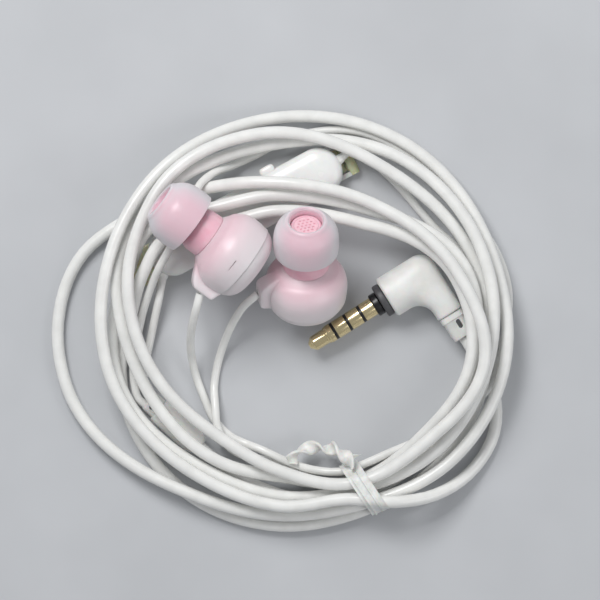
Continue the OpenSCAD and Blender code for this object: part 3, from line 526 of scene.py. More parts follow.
MATERIALS = {
    "shell": milky_shell(),
    "skirt": clear_silicone(),
    "gold": gold_plating(),
    # TPE jacket, extruded: glossy white, with a faint drawn ripple 0.9 mm long
    "cord": moulded("tpe_jacket", "EDEDEA", 0.22, 3.0, ("E9E9E6", "F1F1EE"), (0.19, 0.27),
                    (0.2, 0.0006, (1.0, 0.95, 0.9)), (0.9, 2.0, 0.03, 0.25), IOR=1.48),
    # pink polycarbonate, moulded: soft satin, light scattering just under it
    "pink": moulded("pink_polycarbonate", "F4C3D0", 0.36, 2.5, ("F0B9C8", "F6CBD6"), (0.32, 0.42),
                    (0.4, 0.0012, (1.0, 0.55, 0.62)), IOR=1.55),
    # pink silicone rubber, moulded: matt
    "core": moulded("pink_silicone", "F8CCD7", 0.42, 3.0, ("F6C5D2", "FAD6DF"), (0.38, 0.48),
                    (0.6, 0.0015, (1.0, 0.6, 0.65)), IOR=1.41),
    # glossy white ABS, moulded
    "abs": moulded("white_abs", "ECECEA", 0.24, 4.0, ("E8E8E6", "F0F0EE"), (0.2, 0.3),
                   (0.15, 0.0006), (0.4, 2.0, 0.008, 0.15), IOR=1.53),
    # white elastomer of the plug and splitter: satin, fine grained
    "elastomer": moulded("satin_elastomer", "E7E7E3", 0.42, 3.0, ("E2E2DE", "EBEBE8"), (0.38, 0.5),
                         (0.2, 0.0006), (0.3, 3.0, 0.015, 0.3), IOR=1.5),
    # clear polycarbonate, aged yellowish and greener where it's thick
    "clip": moulded("clear_yellowed_polycarbonate", "E8E2BC", 0.16, 4.0, ("E4DEB2", "EFEACB"),
                    (0.12, 0.22), (0.4, 0.002), Transmission_Weight=0.35, IOR=1.58),
    # plastic-coated twist tie: dull white, slightly crumpled film
    "tie": moulded("coated_tie", "E9EAE6", 0.4, 1.4, ("DFE0DB", "F0F0ED"), (0.32, 0.5),
                   (0.15, 0.0004), (1.4, 3.0, 0.12, 0.5)),
    "black": moulded("black_insulator", "101012", 0.3, 1.0, ("0C0C0E", "151517")),
    "grey": moulded("grey_elastomer", "4A4A4C", 0.45, 1.2, ("434345", "525254")),
    "steel": moulded("bright_steel", "B6B7BA", 0.28, 0.8, ("AEAFB2", "BFC0C3"), Metallic=1.0),
    "magnet": moulded("nickelled_magnet", "77787B", 0.32, 0.8, ("6C6D70", "828386"), Metallic=1.0),
    "copper": moulded("enamelled_copper", "B5673A", 0.3, 0.3, ("A65B30", "C47447"), Metallic=1.0),
    "board": moulded("glass_laminate", "2E6B45", 0.45, 0.8, ("285F3D", "35784E")),
    "film": moulded("amber_film", "CDB368", 0.25, 1.0, ("C2A75B", "D8C07A")),
    "grille": moulded("pink_polyamide", "F6CBD6", 0.42, 1.0, ("F3C5D1", "F8D2DB")),
    # acoustic cloth behind the grille, a deeper pink than the grille: painted shade in the grille's
    # holes
    "cloth_and_hole_shade": moulded("acoustic_cloth_painted_hole_shade", "F0B6C5", 0.7, 0.3, ("EAADBD", "F5C1CE")),
}


def finish(piece, look, slot, *nodes, body="set"):
    """Gives a piece its material, body and the CAD nodes it stands for. The slot is not used."""
    piece.data.materials.clear()
    piece.data.materials.append(MATERIALS[look])
    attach(piece, body)
    if nodes:
        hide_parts(*nodes)
    return piece


def point_values(piece, name, values):
    """Stores one number for each point of a mesh."""
    layer = piece.data.attributes.new(name, "FLOAT", "POINT")
    layer.data.foreach_set("value", np.asarray(values, np.float32))


def own_points(piece, place):
    """A mesh's points in its own frame, in millimetres."""
    co = np.zeros(len(piece.data.vertices) * 3)
    piece.data.vertices.foreach_get("co", co)
    return (co.reshape(-1, 3) / MM - np.array(place[0])) @ turn_matrix(place[1])


# ---- earbuds
FRONT_CURVE = [[0, 1], [0.2, 0.995], [0.4, 0.96], [0.6, 0.88], [0.75, 0.79], [0.88, 0.68]]
BACK_CURVE = [
    [1, 0], [0.995, 0.3], [0.965, 0.52], [0.92, 0.66], [0.85, 0.76], [0.75, 0.845], [0.6, 0.915],
    [0.4, 0.965], [0.2, 0.99],
]
COLLAR_END = BUD_FRONT + NECK_LEN
NOZZLE_END = COLLAR_END + NOZZLE_LEN + 0.8
TIP_X = COLLAR_END + 0.3
TIP_END = TIP_X + TIP_LEN
# the housing's section: a smooth curve through shares of its depth and radius
housing_curve = spline(
    [[-BUD_BACK * p[0], BUD_R * p[1], 0] for p in BACK_CURVE]
    + [[BUD_FRONT * p[0], BUD_R * p[1], 0] for p in FRONT_CURVE] + [[BUD_FRONT, NECK_R, 0]], 10)[:, :2]


def housing_radius(x):
    """The housing's radius at a distance x along its axis."""
    return np.interp(x, housing_curve[:, 0], housing_curve[:, 1])


def block_radius(angle):
    """Distance from the axis to the cable block's outline, at an angle in degrees
    from its direction: its end and sides, met by a rounded corner."""
    power = -14
    a = np.radians(np.abs(angle))
    end = BLOCK_REACH / np.maximum(np.cos(a), 0.05)
    side = BLOCK_T / 2 / np.maximum(np.sin(a), 0.02)
    return np.where(np.abs(angle) < 80, (end ** power + side ** power) ** (1 / power), 0)


def shell_surface(side, place, rows=90):
    """The front wall of the housing: outside, a smooth maximum of the housing's
    radius and the cable block's; inside, the housing's less the wall. A fine
    slit is cut beside the block."""
    angle = np.concatenate([np.linspace(-180, -40, 60, endpoint=False),
                            np.linspace(-40, 40, 180, endpoint=False),
                            np.linspace(40, 180, 60, endpoint=False)])
    x = np.linspace(-SEAM_BACK + SEAM_HALF, BUD_FRONT, rows)
    base = housing_radius(x)[:, None]
    gone = np.where(x > BLOCK_X, (x - BLOCK_X - BLOCK_FRONT) / FADE_FRONT,
                    (BLOCK_X - x - BLOCK_BACK) / FADE_BACK)
    width = np.clip(1 - gone, 0, 1)
    block = base + (block_radius(angle)[None, :] - base) * (width * width * (3 - 2 * width))[:, None]
    blend = 1.2
    lift = block - base - 0.25
    soft = 0.5 * (lift + np.sqrt(lift ** 2 + blend ** 2)) - 0.5 * blend * np.exp(-lift ** 2)
    outer = base + np.maximum(soft, 0)
    inside = np.broadcast_to(np.maximum(base - SHELL_WALL, 0.3), outer.shape)
    radius = np.vstack([outer, inside[::-1]])
    a = np.radians(angle)
    rings = lattice(np.concatenate([x, x[::-1]])[:, None], radius * np.cos(a), radius * np.sin(a))
    shell = solid(side + "_shell", rings, grid_faces(2 * rows, len(angle), True, True), place, 50)
    slit_z = 7.35 if side == "left" else -7.35
    return cut(shell, place, (0.0, 2.1, slit_z), 0.07, 1.5, 0.3)


def shell_glow(piece, place):
    """How strongly the insert glows through the shell: most on a ring round the
    neck, and not at all at the rims and block."""
    p = own_points(piece, place)
    across = np.hypot(p[:, 1], p[:, 2])
    near_neck = np.exp(-((p[:, 0] - GLOW_X) / GLOW_SPREAD) ** 2)
    middle = np.exp(-((across - GLOW_R) / GLOW_SPREAD) ** 2)
    block = np.clip((p[:, 1] - 5.5) / 2.5, 0, 1)
    glow = np.clip(0.95 * near_neck * middle + 0.25 * near_neck, 0, 1)
    point_values(piece, "glow", glow * (1 - block))


def grille(name, place):
    """A disc with 19 holes on a hexagonal grid: its face is triangulated round
    them and laid twice, in front and behind, joined by the holes' and rim's walls."""
    holes = [((i + j / 2) * HOLE_PITCH, j * HOLE_PITCH * math.sqrt(3) / 2)
             for i in range(-2, 3) for j in range(-2, 3) if abs(i + j) <= 2]
    loops, flat = [], []
    for y, z, r, count in [(0, 0, GRILLE_R, 64)] + [(*hole, HOLE_R, 16) for hole in holes]:
        loops.append(list(range(len(flat), len(flat) + count)))
        flat += [Vector((y + r * math.cos(a), z + r * math.sin(a))) for a in turns(count)]
    verts, _, faces, _, _, _ = delaunay_2d_cdt(flat, [], loops, 0, 1e-6)
    middles = [np.mean([verts[i] for i in f], axis=0) for f in faces]
    inside = 0.9755 * HOLE_R
    keep = [list(f) for f, c in zip(faces, middles)
            if all(math.hypot(c[0] - y, c[1] - z) > inside for y, z in holes)]
    n = len(verts)
    points = [(x, v[0], v[1]) for x in (NOZZLE_END - 0.04, NOZZLE_END - 0.18) for v in verts]
    walls = [[a, b, b + n, a + n] for loop in loops for a, b in zip(loop, loop[1:] + loop[:1])]
    return solid(name, points, keep + [[i + n for i in f] for f in keep] + walls, place)


def earbud(side, place):
    """One earbud, from its back cover to its skirt."""
    shell = shell_surface(side, place)
    shell_glow(shell, place)
    finish(shell, "shell", "shell", side + "_front_shell")
    back = turned(side + "_back", back_profile(), place, 160)
    shell_glow(back, place)
    finish(back, "shell", "shell", side + "_back_cover")
    nozzle = turned(side + "_neck", rounded(
        past(BUD_FRONT, (-1.7, NOZZLE_BORE), (-1.7, 3.8), (-0.95, 3.8), (-0.95, 3.2), (-0.02, 3.2),
             (-0.02, NECK_R), (0.7 * NECK_LEN, NECK_R - 0.1))
        + past(COLLAR_END, (0, NECK_R - 0.7), (0, LIP_R), (2.2, LIP_R), (2.55, NOZZLE_R))
        + past(NOZZLE_END, (-1.6, NOZZLE_R), (-1.3, LIP_R), (-0.35, LIP_R), (0, LIP_R - 0.3),
               (0, NOZZLE_BORE + 0.32), (-0.35, NOZZLE_BORE + 0.32), (-0.35, NOZZLE_BORE))
        + past(BUD_FRONT, (-1.7, NOZZLE_BORE)), 0.35), place)
    finish(nozzle, "pink", "pink", side + "_nozzle")
    finish(grille(side + "_mesh", place), "grille", "pink", side + "_grille")
    # a disc behind the grille, its deeper pink painted shade seen through the holes
    cloth_and_hole_shade = turned(side + "_gauze", past(
        NOZZLE_END - 0.2, (0, 0), (0, NOZZLE_BORE), (-0.1, NOZZLE_BORE), (-0.1, 0)), place, 64)
    finish(cloth_and_hole_shade, "cloth_and_hole_shade", "pink")
    exit_ys = (BUD_R - 1.4, BLOCK_REACH - 0.5, BLOCK_REACH + 0.06)
    exit_at = [placed([BLOCK_X, y, 0], place) for y in exit_ys]
    taper = LEAD_D / 2 + np.linspace(0.45, 0.15, 13)
    sleeve = tube(side + "_sleeve", spline(exit_at, 6), taper, 32)
    finish(sleeve, "cord", "cord", side + "_grommet")
    core = turned(side + "_core", rounded(
        past(TIP_X, (0.6, CORE_BORE), (0.6, CORE_R - 0.5), (1.2, CORE_R))
        + past(TIP_END, (-1.6, CORE_R - 0.02), (-0.6, CORE_R - 0.37), (-0.1, CORE_BORE + 0.15),
               (-0.3, CORE_BORE)) + past(TIP_X, (0.6, CORE_BORE)), 0.25), place)
    finish(core, "core", "tip_core", side + "_tip_core", body=side + "_tip")
    skirt = turned(side + "_skirt", skirt_profile(), place, 128, True)
    finish(skirt, "skirt", "tip_skirt", side + "_tip_skirt", body=side + "_tip")


def back_profile():
    """The back cover's section: the housing's curve from the pole to the seam,
    and back along the same curve drawn in by the wall."""
    outside = housing_curve[housing_curve[:, 0] < -SEAM_BACK - 0.05]
    seam = [[-SEAM_BACK - SEAM_HALF, housing_radius(-SEAM_BACK) - 0.01]]
    draw_in = np.array([(BUD_BACK - SHELL_WALL) / BUD_BACK, (BUD_R - SHELL_WALL) / BUD_R])
    inside = outside[outside[:, 0] * draw_in[0] < -SEAM_BACK] * draw_in
    end = [[-SEAM_BACK - SEAM_HALF, inside[-1, 1]]]
    return np.vstack([outside, seam, end, inside[::-1]])


def skirt_profile():
    """The skirt's closed section, along its outside and back inside: smooth
    curves through shares of the length and depths under the full radius."""
    drop = [[0, 0.1], [0.12, 0], [0.36, 0], [0.54, 0.15], [0.7, 0.55], [0.82, 1.15], [0.92, 1.85]]
    outside = spline([[TIP_X + q[0] * TIP_LEN, TIP_R - q[1], 0] for q in drop]
                     + [[TIP_END - 0.15, CORE_R + 0.15, 0], [TIP_END, CORE_R - 0.2, 0],
                        [TIP_END - 0.2, CORE_R - 0.55, 0]], 6)[:, :2]
    mouth = past(TIP_END, (-0.6, CORE_R - 0.33), (-1.6, CORE_R + 0.02), (-1.75, CORE_R + 0.02))
    inside = spline([[TIP_X + q[0] * TIP_LEN - 0.45 * SKIRT_T * q[1], TIP_R - q[1] - SKIRT_T, 0]
                     for q in drop[5::-1]], 6)[:, :2]
    return np.vstack([outside, mouth, inside, [[TIP_X - 0.12, TIP_R - 0.1 - SKIRT_T / 2]]])


# ---- plug
TIP_CONTACT = 5.1
RING_LEN = (PIN_LEN - TIP_CONTACT - 3 * RING_GAP) / 3
COLLAR_X = PIN_LEN + 1.4
BARREL_X = COLLAR_X + 1.4


def plug_band(name, x0, x1, r, look, slot, node_name, bevel=0.08):
    """A ring on the pin from x0 to x1 with slightly rounded edges."""
    section = [[x0, 0.8], [x0, r], [x1, r], [x1, 0.8], [x0, 0.8]]
    piece = turned(name, rounded(section, bevel), PLUG, 72)
    point_values(piece, "along", own_points(piece, PLUG)[:, 0])
    return finish(piece, look, slot, node_name)


def oval(half_w, half_t, power, count=56):
    """Points of |y/w|^n + |z/t|^n = 1 at even angles of its parameter."""
    c, s = circle(count).T
    return np.column_stack([half_w * np.sign(c) * np.abs(c) ** (2 / power),
                            half_t * np.sign(s) * np.abs(s) ** (2 / power)])


def swept(name, centres, across, rings, place):
    """A closed skin over rings: a ring's point (u, z) goes to its centre + u
    along its across direction + z along Z. The ends are capped."""
    across = np.broadcast_to(across, (len(rings), 3))
    grid = np.array([c + r[:, :1] * u + r[:, 1:] * [0, 0, 1]
                     for c, u, r in zip(centres, across, rings)])
    return solid(name, grid, capped(*grid.shape[:2], flip=True), place, 40)


def elbow():
    """The moulded elbow as one skin: the round barrel, then sections on rays
    from the middle of the inner fillet out to the outline with its rounded
    corner, then the leg, while the section goes from round to squarish."""
    fillet, corner = 3.2, 3.0
    inner = np.array([LEG_X - LEG_W / 2 - fillet, -BARREL_R - fillet])
    outer = np.array([LEG_X + LEG_W / 2 - corner, BARREL_R - corner])
    centres, across, rings = [], [], []

    def station(x, y, way, half_w, half_t, power):
        """Adds one section at a place, facing a way."""
        centres.append(np.array([x, y, 0.0]))
        across.append((math.cos(way), math.sin(way), 0))
        rings.append(oval(half_w, half_t, power, 64))

    for x, shrink in [(0, 0.5), (0.1, 0.25), (0.3, 0.05), (0.45, 0), (1.4, 0),
                      (inner[0] - BARREL_X, 0)]:
        station(BARREL_X + x, 0.0, math.pi / 2, BARREL_R - shrink, BARREL_R - shrink, 2.0)
    to_corner = outer - inner
    for way in np.radians(np.linspace(90, 0, 46)[1:]):
        d = np.array([math.cos(way), math.sin(way)])
        reach = min((BARREL_R - inner[1]) / max(d[1], 1e-6),
                    (LEG_X + LEG_W / 2 - inner[0]) / max(d[0], 1e-6))
        hit = inner + d * reach
        if hit[0] > outer[0] and hit[1] > outer[1]:
            b = d @ to_corner
            reach = b + math.sqrt(b * b - to_corner @ to_corner + corner ** 2)
        share = 1 - way / (math.pi / 2)
        share = share * share * (3 - 2 * share)
        middle = inner + d * (reach + fillet) / 2
        half_t = BARREL_R - share * (BARREL_R - ELBOW_T / 2 + 0.1)
        station(*middle, way, (reach - fillet) / 2, half_t, 2 + 1.3 * share)
    for y, shrink in [(7.8, 0), (8.4, 0), (8.6, 0.06), (8.7, 0.2)]:
        station(LEG_X, -y, 0.0, LEG_W / 2 - shrink, ELBOW_T / 2 - 0.1 - shrink, 3.3)
    return swept("elbow_moulding", centres, across, rings, PLUG)


def relief_moulding():
    """The strain relief: superellipses down the leg, whose half sizes taper as
    the lists say, with a slot through them where it can bend."""
    ys = [8.72, 8.8, 9.0, 9.9, 9.98, 10.1, 12.4, 13.3, 13.6, 13.7]
    half = [2.2, 2.3, 2.32, 2.32, 2.24, 2.15, 2.1, 2.0, 1.95, 1.75]
    thick = [2.5, 2.6, 2.65, 2.6, 2.5, 2.4, 2.2, 2.0, 1.95, 1.75]
    rings = [oval(a, b, 3.6) for a, b in zip(half, thick)]
    body = swept("plug_boot", [(LEG_X, -y, 0) for y in ys], (1, 0, 0), rings, PLUG)
    return cut(body, PLUG, (LEG_X + 0.5, -11.1, 0), 0.42, 0.9, 6)


def cut(piece, place, middle, half_w, half_l, half_deep):
    """Cuts a slot with round ends through a piece along its frame's Z, round a
    middle: half_w wide along X and half_l long along Y."""
    outline = half_w * circle(40)
    outline[:, 1] += np.sign(outline[:, 1]) * (half_l - half_w)
    ends = [np.column_stack([outline, np.full(40, z)]) + middle for z in (-half_deep, half_deep)]
    return carved(piece, solid("slot_tool", np.vstack(ends), capped(2, 40), place))


def carved(piece, tool, way="DIFFERENCE"):
    """Takes one closed mesh out of another, or joins it on."""
    change = piece.modifiers.new("slot", "BOOLEAN")
    change.object, change.operation, change.solver = tool, way, "EXACT"
    apply_modifiers(piece)
    bpy.data.objects.remove(tool)
    piece.data.shade_smooth()
    piece.data.set_sharp_from_angle(angle=math.radians(40))
    return piece


def apply_modifiers(piece):
    """Applies a piece's modifiers."""
    graph = bpy.context.evaluated_depsgraph_get()
    made = bpy.data.meshes.new_from_object(piece.evaluated_get(graph))
    old = piece.data
    piece.modifiers.clear()
    piece.data = made
    bpy.data.meshes.remove(old)


def plug():
    """The four-contact plug."""
    point = turned("pin_point", rounded(
        [[0, 0], [0, 0.5], [0.85, PIN_R - 0.4], [1, PIN_R - 0.3], [3.6, PIN_R - 0.3],
         [3.7, PIN_R - 0.12], [4.05, PIN_R - 0.12], [4.2, PIN_R], [TIP_CONTACT, PIN_R],
         [TIP_CONTACT, 0.8], [COLLAR_X + 3, 0.8], [COLLAR_X + 3, 0]], 0.06), PLUG, 96)
    point_values(point, "along", own_points(point, PLUG)[:, 0])
    pieces = [finish(point, "gold", "gold", "plug_tip")]
    x = TIP_CONTACT
    for k in (1, 2, 3):
        pieces.append(plug_band(f"insulator_{k}", x, x + RING_GAP, PIN_R - 0.06, "black",
                                "black_ring", f"plug_insulator_{k}", 0.02))
        x += RING_GAP
        contact = "plug_sleeve" if k == 3 else f"plug_ring_{k}"
        pieces.append(plug_band(f"contact_{k}", x, x + RING_LEN, PIN_R, "gold", "gold", contact))
        x += RING_LEN
    return pieces + [
        plug_band("shoulder", PIN_LEN, COLLAR_X, PIN_R + 0.45, "black", "black_ring",
                  "plug_shoulder", 0.3),
        plug_band("collar", COLLAR_X, BARREL_X, BARREL_R - 0.8, "grey", "grey_ring",
                  "plug_collar", 0.45),
        finish(elbow(), "elastomer", "white_plastic", "plug_elbow"),
        finish(relief_moulding(), "elastomer", "white_plastic", "plug_relief")]


# ---- control
def case_half(name, top):
    """Half of the control's case: a stadium drawn in to its middle line while
    the height follows a superellipse, the same inside less the wall, with the
    button's opening cut out of the side."""
    cap, power, way = CTL_W / 2, 2.9, 1 if top else -1
    seam = CTL_SPLIT + 0.02 * way
    turn = np.arcsin((abs(seam) / (CTL_T / 2)) ** (power / 2))
    angle = np.linspace(np.pi / 2, -way * turn, 44 if top else 36)
    width = cap * np.abs(np.cos(angle)) ** (2 / power)
    height = way * CTL_T / 2 * np.sign(np.sin(angle)) * np.abs(np.sin(angle)) ** (2 / power)
    width[0] = 0
    rows = list(zip(width, height))[:-1] + [(width[-1], seam + 0.05 * way), (width[-1] - 0.05, seam)]
    inner = [(max(w - CTL_WALL, 0), z * (1 - 2 * CTL_WALL / CTL_T)) for w, z in rows[:-2]]
    inner = [q for q in inner if way * (q[1] - seam) > 0]
    rows += [(inner[-1][0], seam)] + inner[::-1]
    a = turns(120) + 1e-4
    w, z = np.array(rows)[:, :1], np.array(rows)[:, 1:]
    x = w * np.cos(a) + np.sign(np.cos(a)) * (CTL_LEN / 2 - cap)
    grid = lattice(x, w * np.sin(a), z)
    half = solid(name, grid, grid_faces(len(rows), 120, False, True), CONTROL, 50)
    return carved(half, button_prism("key_hole", CTL_W / 2 - 2.2, CTL_W / 2 + 2, 0.15))


def button_prism(name, y0, y1, grow):
    """A prism across the case with the button's outline, grown."""
    ring = oval(BUTTON_W / 2 + grow, 1 + grow, 4, 48)
    return swept(name, [(BUTTON_X, y, BUTTON_Z) for y in (y0, y1)], (1, 0, 0), [ring, ring], CONTROL)


def button_piece():
    """The side button: superellipses across the case that shrink near the
    outer face, so that it's domed."""
    top = CTL_W / 2 + BUTTON_OUT
    half = BUTTON_W / 2
    steps = [(CTL_W / 2 - 1.4, half, 1.0), (top - 0.7, half, 1.0), (top - 0.35, half - 0.1, 0.94),
             (top - 0.12, half - 0.3, 0.8), (top, half - 0.75, 0.45)]
    rings = [oval(w, t, 3.6, 48) for _, w, t in steps]
    return swept("side_key", [(BUTTON_X, y, BUTTON_Z) for y, _, _ in steps], (1, 0, 0), rings, CONTROL)


def round_bar(name, r, middle_y, half_y):
    """A short cylinder on the clip hinge's axis."""
    ring = oval(r, r, 2, 48)
    ends = [(HINGE_X, middle_y + side * half_y, HINGE_Z) for side in (-1, 1)]
    return swept(name, ends, (1, 0, 0), [ring, ring], CONTROL)


def with_lugs(back):
    """The back half with the arms and lugs that hold the clip's pin: flat bars
    and short cylinders joined on, with a bore through them."""
    for s in (-1, 1):
        xs = [HINGE_X - 6.3, HINGE_X - 6.2, HINGE_X - 0.3, HINGE_X]
        rings = [oval(0.45 - e, 0.225 - e, 5, 24) for e in (0.05, 0, 0, 0.02)]
        centres = [(x, s * LUG_Y, HINGE_Z + 0.375) for x in xs]
        carved(back, swept("arm", centres, (0, 1, 0), rings, CONTROL), "UNION")
        carved(back, round_bar("lug", 0.8, s * LUG_Y, 0.45), "UNION")
    return carved(back, round_bar("bore", 0.42, 0, 5))


def clip():
    """The clip: a plate with round corners, a hood round the hinge that is lower
    at its sides, and two knuckles on the pin, apart for the spring."""
    free, shoulder = -CTL_LEN / 2 - CLIP_OVER, HINGE_X - 8
    xs = np.array([0, 0.03, 0.12, 0.35, 0.7, 1.2, 1.8, 2.5])
    corner, neck = 2.5, CLIP_W / 2 - 1.2
    half = CLIP_W / 2 - corner + np.sqrt(corner ** 2 - (corner - xs) ** 2)
    xs = np.concatenate([free + xs, (shoulder - xs)[::-1], [shoulder + 0.1, HINGE_X]])
    half = np.concatenate([half, np.maximum(half[::-1], neck), [neck, neck]])
    rings = [oval(w, CLIP_T / 2, 7, 72) for w in half]
    plate = swept("clip_plate", [(x, 0, HINGE_Z - 0.5) for x in xs], (0, 1, 0), rings, CONTROL)
    ys = CLIP_W / 2 * np.sin(np.linspace(-np.pi / 2, np.pi / 2, 25))[:, None]
    out = np.radians(np.linspace(-46, 115, 34))[None, :]
    inner = 0.95
    outer = inner + 0.35 * (1 - 0.6 * (np.abs(ys) / (CLIP_W / 2)) ** 4) + 0 * out
    a = np.hstack([out + 0 * ys, out[:, ::-1] + 0 * ys])
    r = np.hstack([outer, np.full_like(outer, inner)])
    grid = lattice(HINGE_X + r * np.cos(a), ys, HINGE_Z + r * np.sin(a))
    hood = solid("hood", grid, capped(*grid.shape[:2], flip=True), CONTROL)
    for tool in (round_bar("knuckle", 0.95, -1.7, 0.7), round_bar("knuckle", 0.95, 1.7, 0.7), hood):
        carved(plate, tool, "UNION")
    carved(plate, round_bar("bore", 0.45, 0, 4))
    return carved(plate, round_bar("spring_room", 0.9, 0, 1.05))


def control():
    """The in-line control: case halves, clip, button and boots."""
    front = finish(case_half("case_front", True), "abs", "white_plastic", "control_front_shell")
    back = with_lugs(case_half("case_back", False))
    finish(back, "abs", "white_plastic", "control_back_shell")
    finish(clip(), "clip", "clip", "control_clip", body="clip")
    key = finish(button_piece(), "abs", "white_plastic", "control_button", body="side_button")
    boots = []
    for name, boot, node_name in (("boot_low", BOOT_LOW, "control_boot_lower"),
                                  ("boot_up", BOOT_UP, "control_boot_upper")):
        run = [boot_end(*boot, d) for d in (-2.8, -1.2, 0.0)]
        piece = tube(name, spline(run, 6), LEAD_D / 2 + np.linspace(0.5, 0.1, 13), 32)
        boots.append(finish(piece, "cord", "cord", node_name))
    return [front, back, key, *boots]


# ---- splitter
def splitter():
    """The splitter: superellipses along its axis, whose half sizes follow the
    lists, once for the block and once for the relief with its slot."""
    xs = [2.42, 2.55, 3.0, 5.0, 8.0, 10.6, 12.0, 12.6, 12.8]
    half = [2.2, 2.4, 2.5, 2.5, 2.5, 2.4, 2.1, 1.75, 1.45]
    thick = [1.55, 1.72, 1.8, 1.8, 1.8, 1.75, 1.6, 1.4, 1.25]
    rings = [oval(a, b, 2.8) for a, b in zip(half, thick)]
    body = swept("splitter_block", [(x, 0, 0) for x in xs], (0, 1, 0), rings, SPLITTER)
    xs = [0.0, 0.1, 0.5, 1.6, 2.38]
    rings = [oval(a, b, 2.6) for a, b in
             [(1.8, 1.2), (1.92, 1.32), (2.0, 1.4), (2.0, 1.4), (2.0, 1.4)]]
    relief = swept("splitter_neck", [(x, 0, 0) for x in xs], (0, 1, 0), rings, SPLITTER)
    relief = cut(relief, SPLITTER, (1.2, 0, 0), 0.42, 1.05, 6)
    return [finish(body, "elastomer", "white_plastic", "splitter_body"),
            finish(relief, "elastomer", "white_plastic", "splitter_relief")]


# ---- tie
tie_middle = np.append(polar(-TIE_PAST, TIE_R, 0)[:2], 0)
tie_way = math.radians(TIE_AT + TIE_PAST + TIE_LEAN)
tie_turn = np.array([[math.cos(tie_way), math.sin(tie_way), 0],
                     [math.sin(tie_way), -math.cos(tie_way), 0], [0, 0, 1]])


def at_tie(p):
    """Points in the tie's own directions: outwards, along the cord, and up."""
    return (np.asarray(p) - tie_middle) @ tie_turn


def crossings(path, u):
    """Where a path crosses the plane at u along the cord: [out, up] for each."""
    q = at_tie(path)
    a, b = q[:-1], q[1:]
    hit = (np.abs(a[:, 0]) < 15) & ((a[:, 1] - u) * (b[:, 1] - u) <= 0) & (a[:, 1] != b[:, 1])
    w = ((u - a[hit, 1]) / (b[hit, 1] - a[hit, 1]))[:, None]
    return (a[hit] + (b[hit] - a[hit]) * w)[:, [0, 2]]


def wrap_outline(u, grow):
    """The tight loop round the cords in the plane at u: the hull of circles round
    the crossings, as reach times aim plus the reach's slope times across."""
    cords = ((coil_path, CORD_D), (plain_path, LEAD_D), (up_path, LEAD_D))
    cloud = np.vstack([c + circle(48) * (d / 2 + TIE_GAP + grow)
                       for path, d in cords for c in crossings(path, u)])
    centre = cloud.mean(0)
    aim = circle(144)
    reach = ((cloud - centre) @ aim.T).max(0)
    spin = np.roll(reach, -1) - np.roll(reach, 1)
    slope = spin / (4 * np.pi / len(aim))
    return centre + aim * reach[:, None] + aim[:, ::-1] * [-1, 1] * slope[:, None]


def tie_wrap(name, u_mid, half, ridge):
    """A band of the tie round the bundle: its section is a flat film with raised
    edges and a wire's ridge, carried round the loop."""
    us = np.linspace(-half, half, 15)
    film, edge, edge_w, wire_at, wire_w = 0.2, 0.08, 0.12, 0.25, 0.2
    edges = edge * np.exp(-((np.abs(us) - half) / edge_w) ** 2)
    level = film + ridge * np.exp(-((us - wire_at) / wire_w) ** 2) + edges
    rows = [(u, grow) for u, grow in zip(us, level)] + [(u, 0.05) for u in us[::-1]]
    loops = [np.insert(wrap_outline(u_mid + u, grow), 1, u_mid + u, axis=1) for u, grow in rows]
    points = np.vstack(loops) @ tie_turn.T + tie_middle
    points[:, 2] = np.maximum(points[:, 2], 0.02)
    return cleaned(mesh_piece(name, points, grid_faces(len(rows), len(loops[0]), True, True), 40))


TAIL = [
    [19.4, -39.7, 6.6], [18.7, -38.3, 6.9], [17.8, -36.9, 6.6], [16.4, -35.8, 5.4], [14.9, -35.9, 4.0],
    [12.6, -35.6, 3.6], [10.6, -36, 3.8], [8.9, -37, 4.6], [7.7, -38.6, 5],
]
POINT = [[17.4, -37.5, 6.1], [18.3, -37.6, 6.3], [19.5, -37.3, 6.4], [21, -36.9, 6.3]]


def twisted(name, route, half, pitch, start, ends):
    """A twisted end of the tie: a flat lens with ribs that turns about the route
    once every pitch and narrows at both ends."""
    path = spline(route, 14)
    length = np.concatenate([[0], np.cumsum(np.linalg.norm(np.diff(path, axis=0), axis=1))])
    _, side, up = frames_along(path)
    twist = 2 * np.pi * length / pitch + start
    sides, thick, ribs = 28, 0.26, 0.1
    a = turns(sides)
    lens = np.column_stack([half * np.cos(a), thick * half * np.sin(a) + ribs * half * np.sin(3 * a)])
    c, s = np.cos(twist)[:, None], np.sin(twist)[:, None]
    u = lens[None, :, 0] * c - lens[None, :, 1] * s
    w = lens[None, :, 0] * s + lens[None, :, 1] * c
    fade = np.clip(np.minimum(length / ends[0], (length[-1] - length) / ends[1]), 0.12, 1)
    across = u[..., None] * side[:, None] + w[..., None] * up[:, None]
    rings = path[:, None] + fade[:, None, None] * across
    return cleaned(mesh_piece(name, rings.reshape(-1, 3), capped(len(path), sides), 60))


# name, middle and half width along the cord, height of the wire's ridge
BANDS = [("tie_wrap_1", -0.98, 0.68, 0.05), ("tie_wrap_2", 0.72, 0.98, 0.26)]
# name, route, half width, pitch, start of the twist, lengths of the narrowed ends
ENDS = [("tie_twist", TAIL, 1.35, 9.0, 1.2, (0.4, 0.6)),
        ("tie_point", POINT, 0.9, 30.0, 0.3, (0.5, 2.6))]


def tie():
    """The two bands and the two ends, each pair in place of one node."""
    bands = [finish(tie_wrap(*row), "tie", "tie", "tie_band") for row in BANDS]
    return bands + [finish(twisted(*row), "tie", "tie", "tie_tail") for row in ENDS]


# ---- build the set
earbud("left", LEFT)
earbud("right", RIGHT)
plug_pieces = plug()
control_pieces = control()
splitter_pieces = splitter()
tie_pieces = tie()

DRIVER = {"driver_frame": "steel", "driver_magnet": "magnet", "voice_coil": "copper",
          "diaphragm": "film"}
INSIDE = {f"{side}_{part}": look for side in ("left", "right") for part, look in DRIVER.items()}
INSIDE.update({"control_board": "board", "control_microphone": "steel", "control_switch": "steel",
               "clip_pin": "steel", "clip_spring": "steel"})
for name, look in INSIDE.items():
    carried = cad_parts[name]
    carried.data.materials.clear()
    carried.data.materials.append(MATERIALS[look])


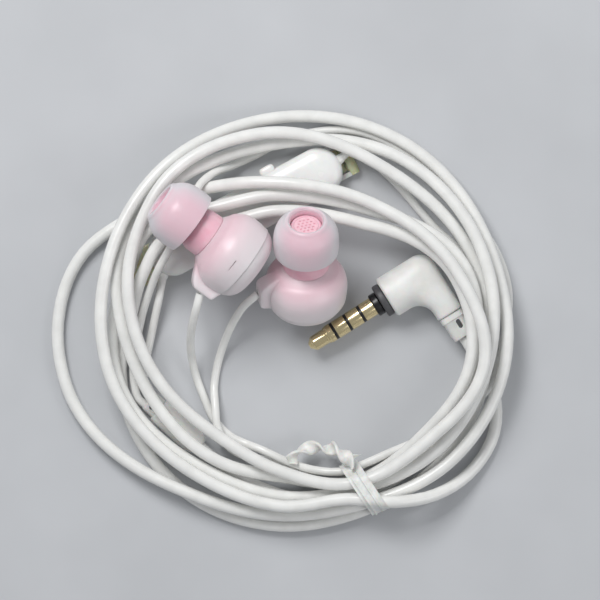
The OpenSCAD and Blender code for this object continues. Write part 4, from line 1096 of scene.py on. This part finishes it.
def cord_piece(name, path, d, node_name):
    """A cord as a tube."""
    piece = finish(tube(name, path, d / 2, 20), "cord", "cord", node_name)


cord_piece("main_cord", coil_path, CORD_D, "main_cord_coil")
cord_piece("plain_lead", plain_path, LEAD_D, "lead_plain")
cord_piece("upper_lead", up_path, LEAD_D, "lead_mic_upper")
# the lower lead is 19 mm long
finish(tube("lower_lead", low_path, LEAD_D / 2, 20), "cord", "cord", "lead_mic_lower")

# ---- floor, light and camera
FRAME_PX = 600
ORIGIN_PX = (248, 255)
PER_MM = 5.4
FRAME_W = FRAME_PX / PER_MM
VIEW_MIDDLE = ((FRAME_PX / 2 - ORIGIN_PX[0]) / PER_MM, (ORIGIN_PX[1] - FRAME_PX / 2) / PER_MM)
CAMERA_HIGH = 1200.0
MIDDLE_HIGH = 5.0


def floor():
    """A pale board, far wider than the set, just under it."""
    half = 3000.0
    corners = [(-half, -half), (half, -half), (half, half), (-half, half)]
    made = mesh_piece("floor", [(x, y, -0.02) for x, y in corners], [[0, 1, 2, 3]])
    made.data.materials.append(moulded("pale_board", "C3C5C8", 0.7, 30.0, ("C0C2C5", "C6C8CB")))


def lamp(name, place, aim, size, power):
    """A square soft lamp at a place, facing a point."""
    data = bpy.data.lights.new(name, "AREA")
    data.size = size * MM
    data.energy = power
    made = added(name, data)
    made.location = Vector(place) * MM
    made.rotation_euler = (Vector(aim) - Vector(place)).to_track_quat("-Z", "Y").to_euler()


def studio():
    """An even pale sky, a large soft lamp behind the top left, a weaker one right."""
    world = bpy.data.worlds.new("studio")
    world.use_nodes = True
    sky = world.node_tree.nodes["Background"].inputs
    sky["Color"].default_value = linear("E8EAEE")
    sky["Strength"].default_value = 0.42
    bpy.context.scene.world = world
    lamp("key", (-150, 260, 420), (10, -10, 0), 220, 1.75)
    lamp("fill", (320, -120, 300), (10, -10, 0), 260, 0.4)


def camera():
    """Straight down on the set from far off, the sensor's width spanning FRAME_W millimetres of the
    set.
    """
    data = bpy.data.cameras.new("camera")
    data.sensor_width = 36.0
    data.lens = data.sensor_width * (CAMERA_HIGH - MIDDLE_HIGH) / FRAME_W
    data.clip_start, data.clip_end = 0.05, 20.0
    made = added("camera", data)
    made.location = Vector((*VIEW_MIDDLE, CAMERA_HIGH)) * MM
    bpy.context.scene.camera = made


floor()
studio()
camera()
bpy.context.scene.view_settings.view_transform = "Standard"
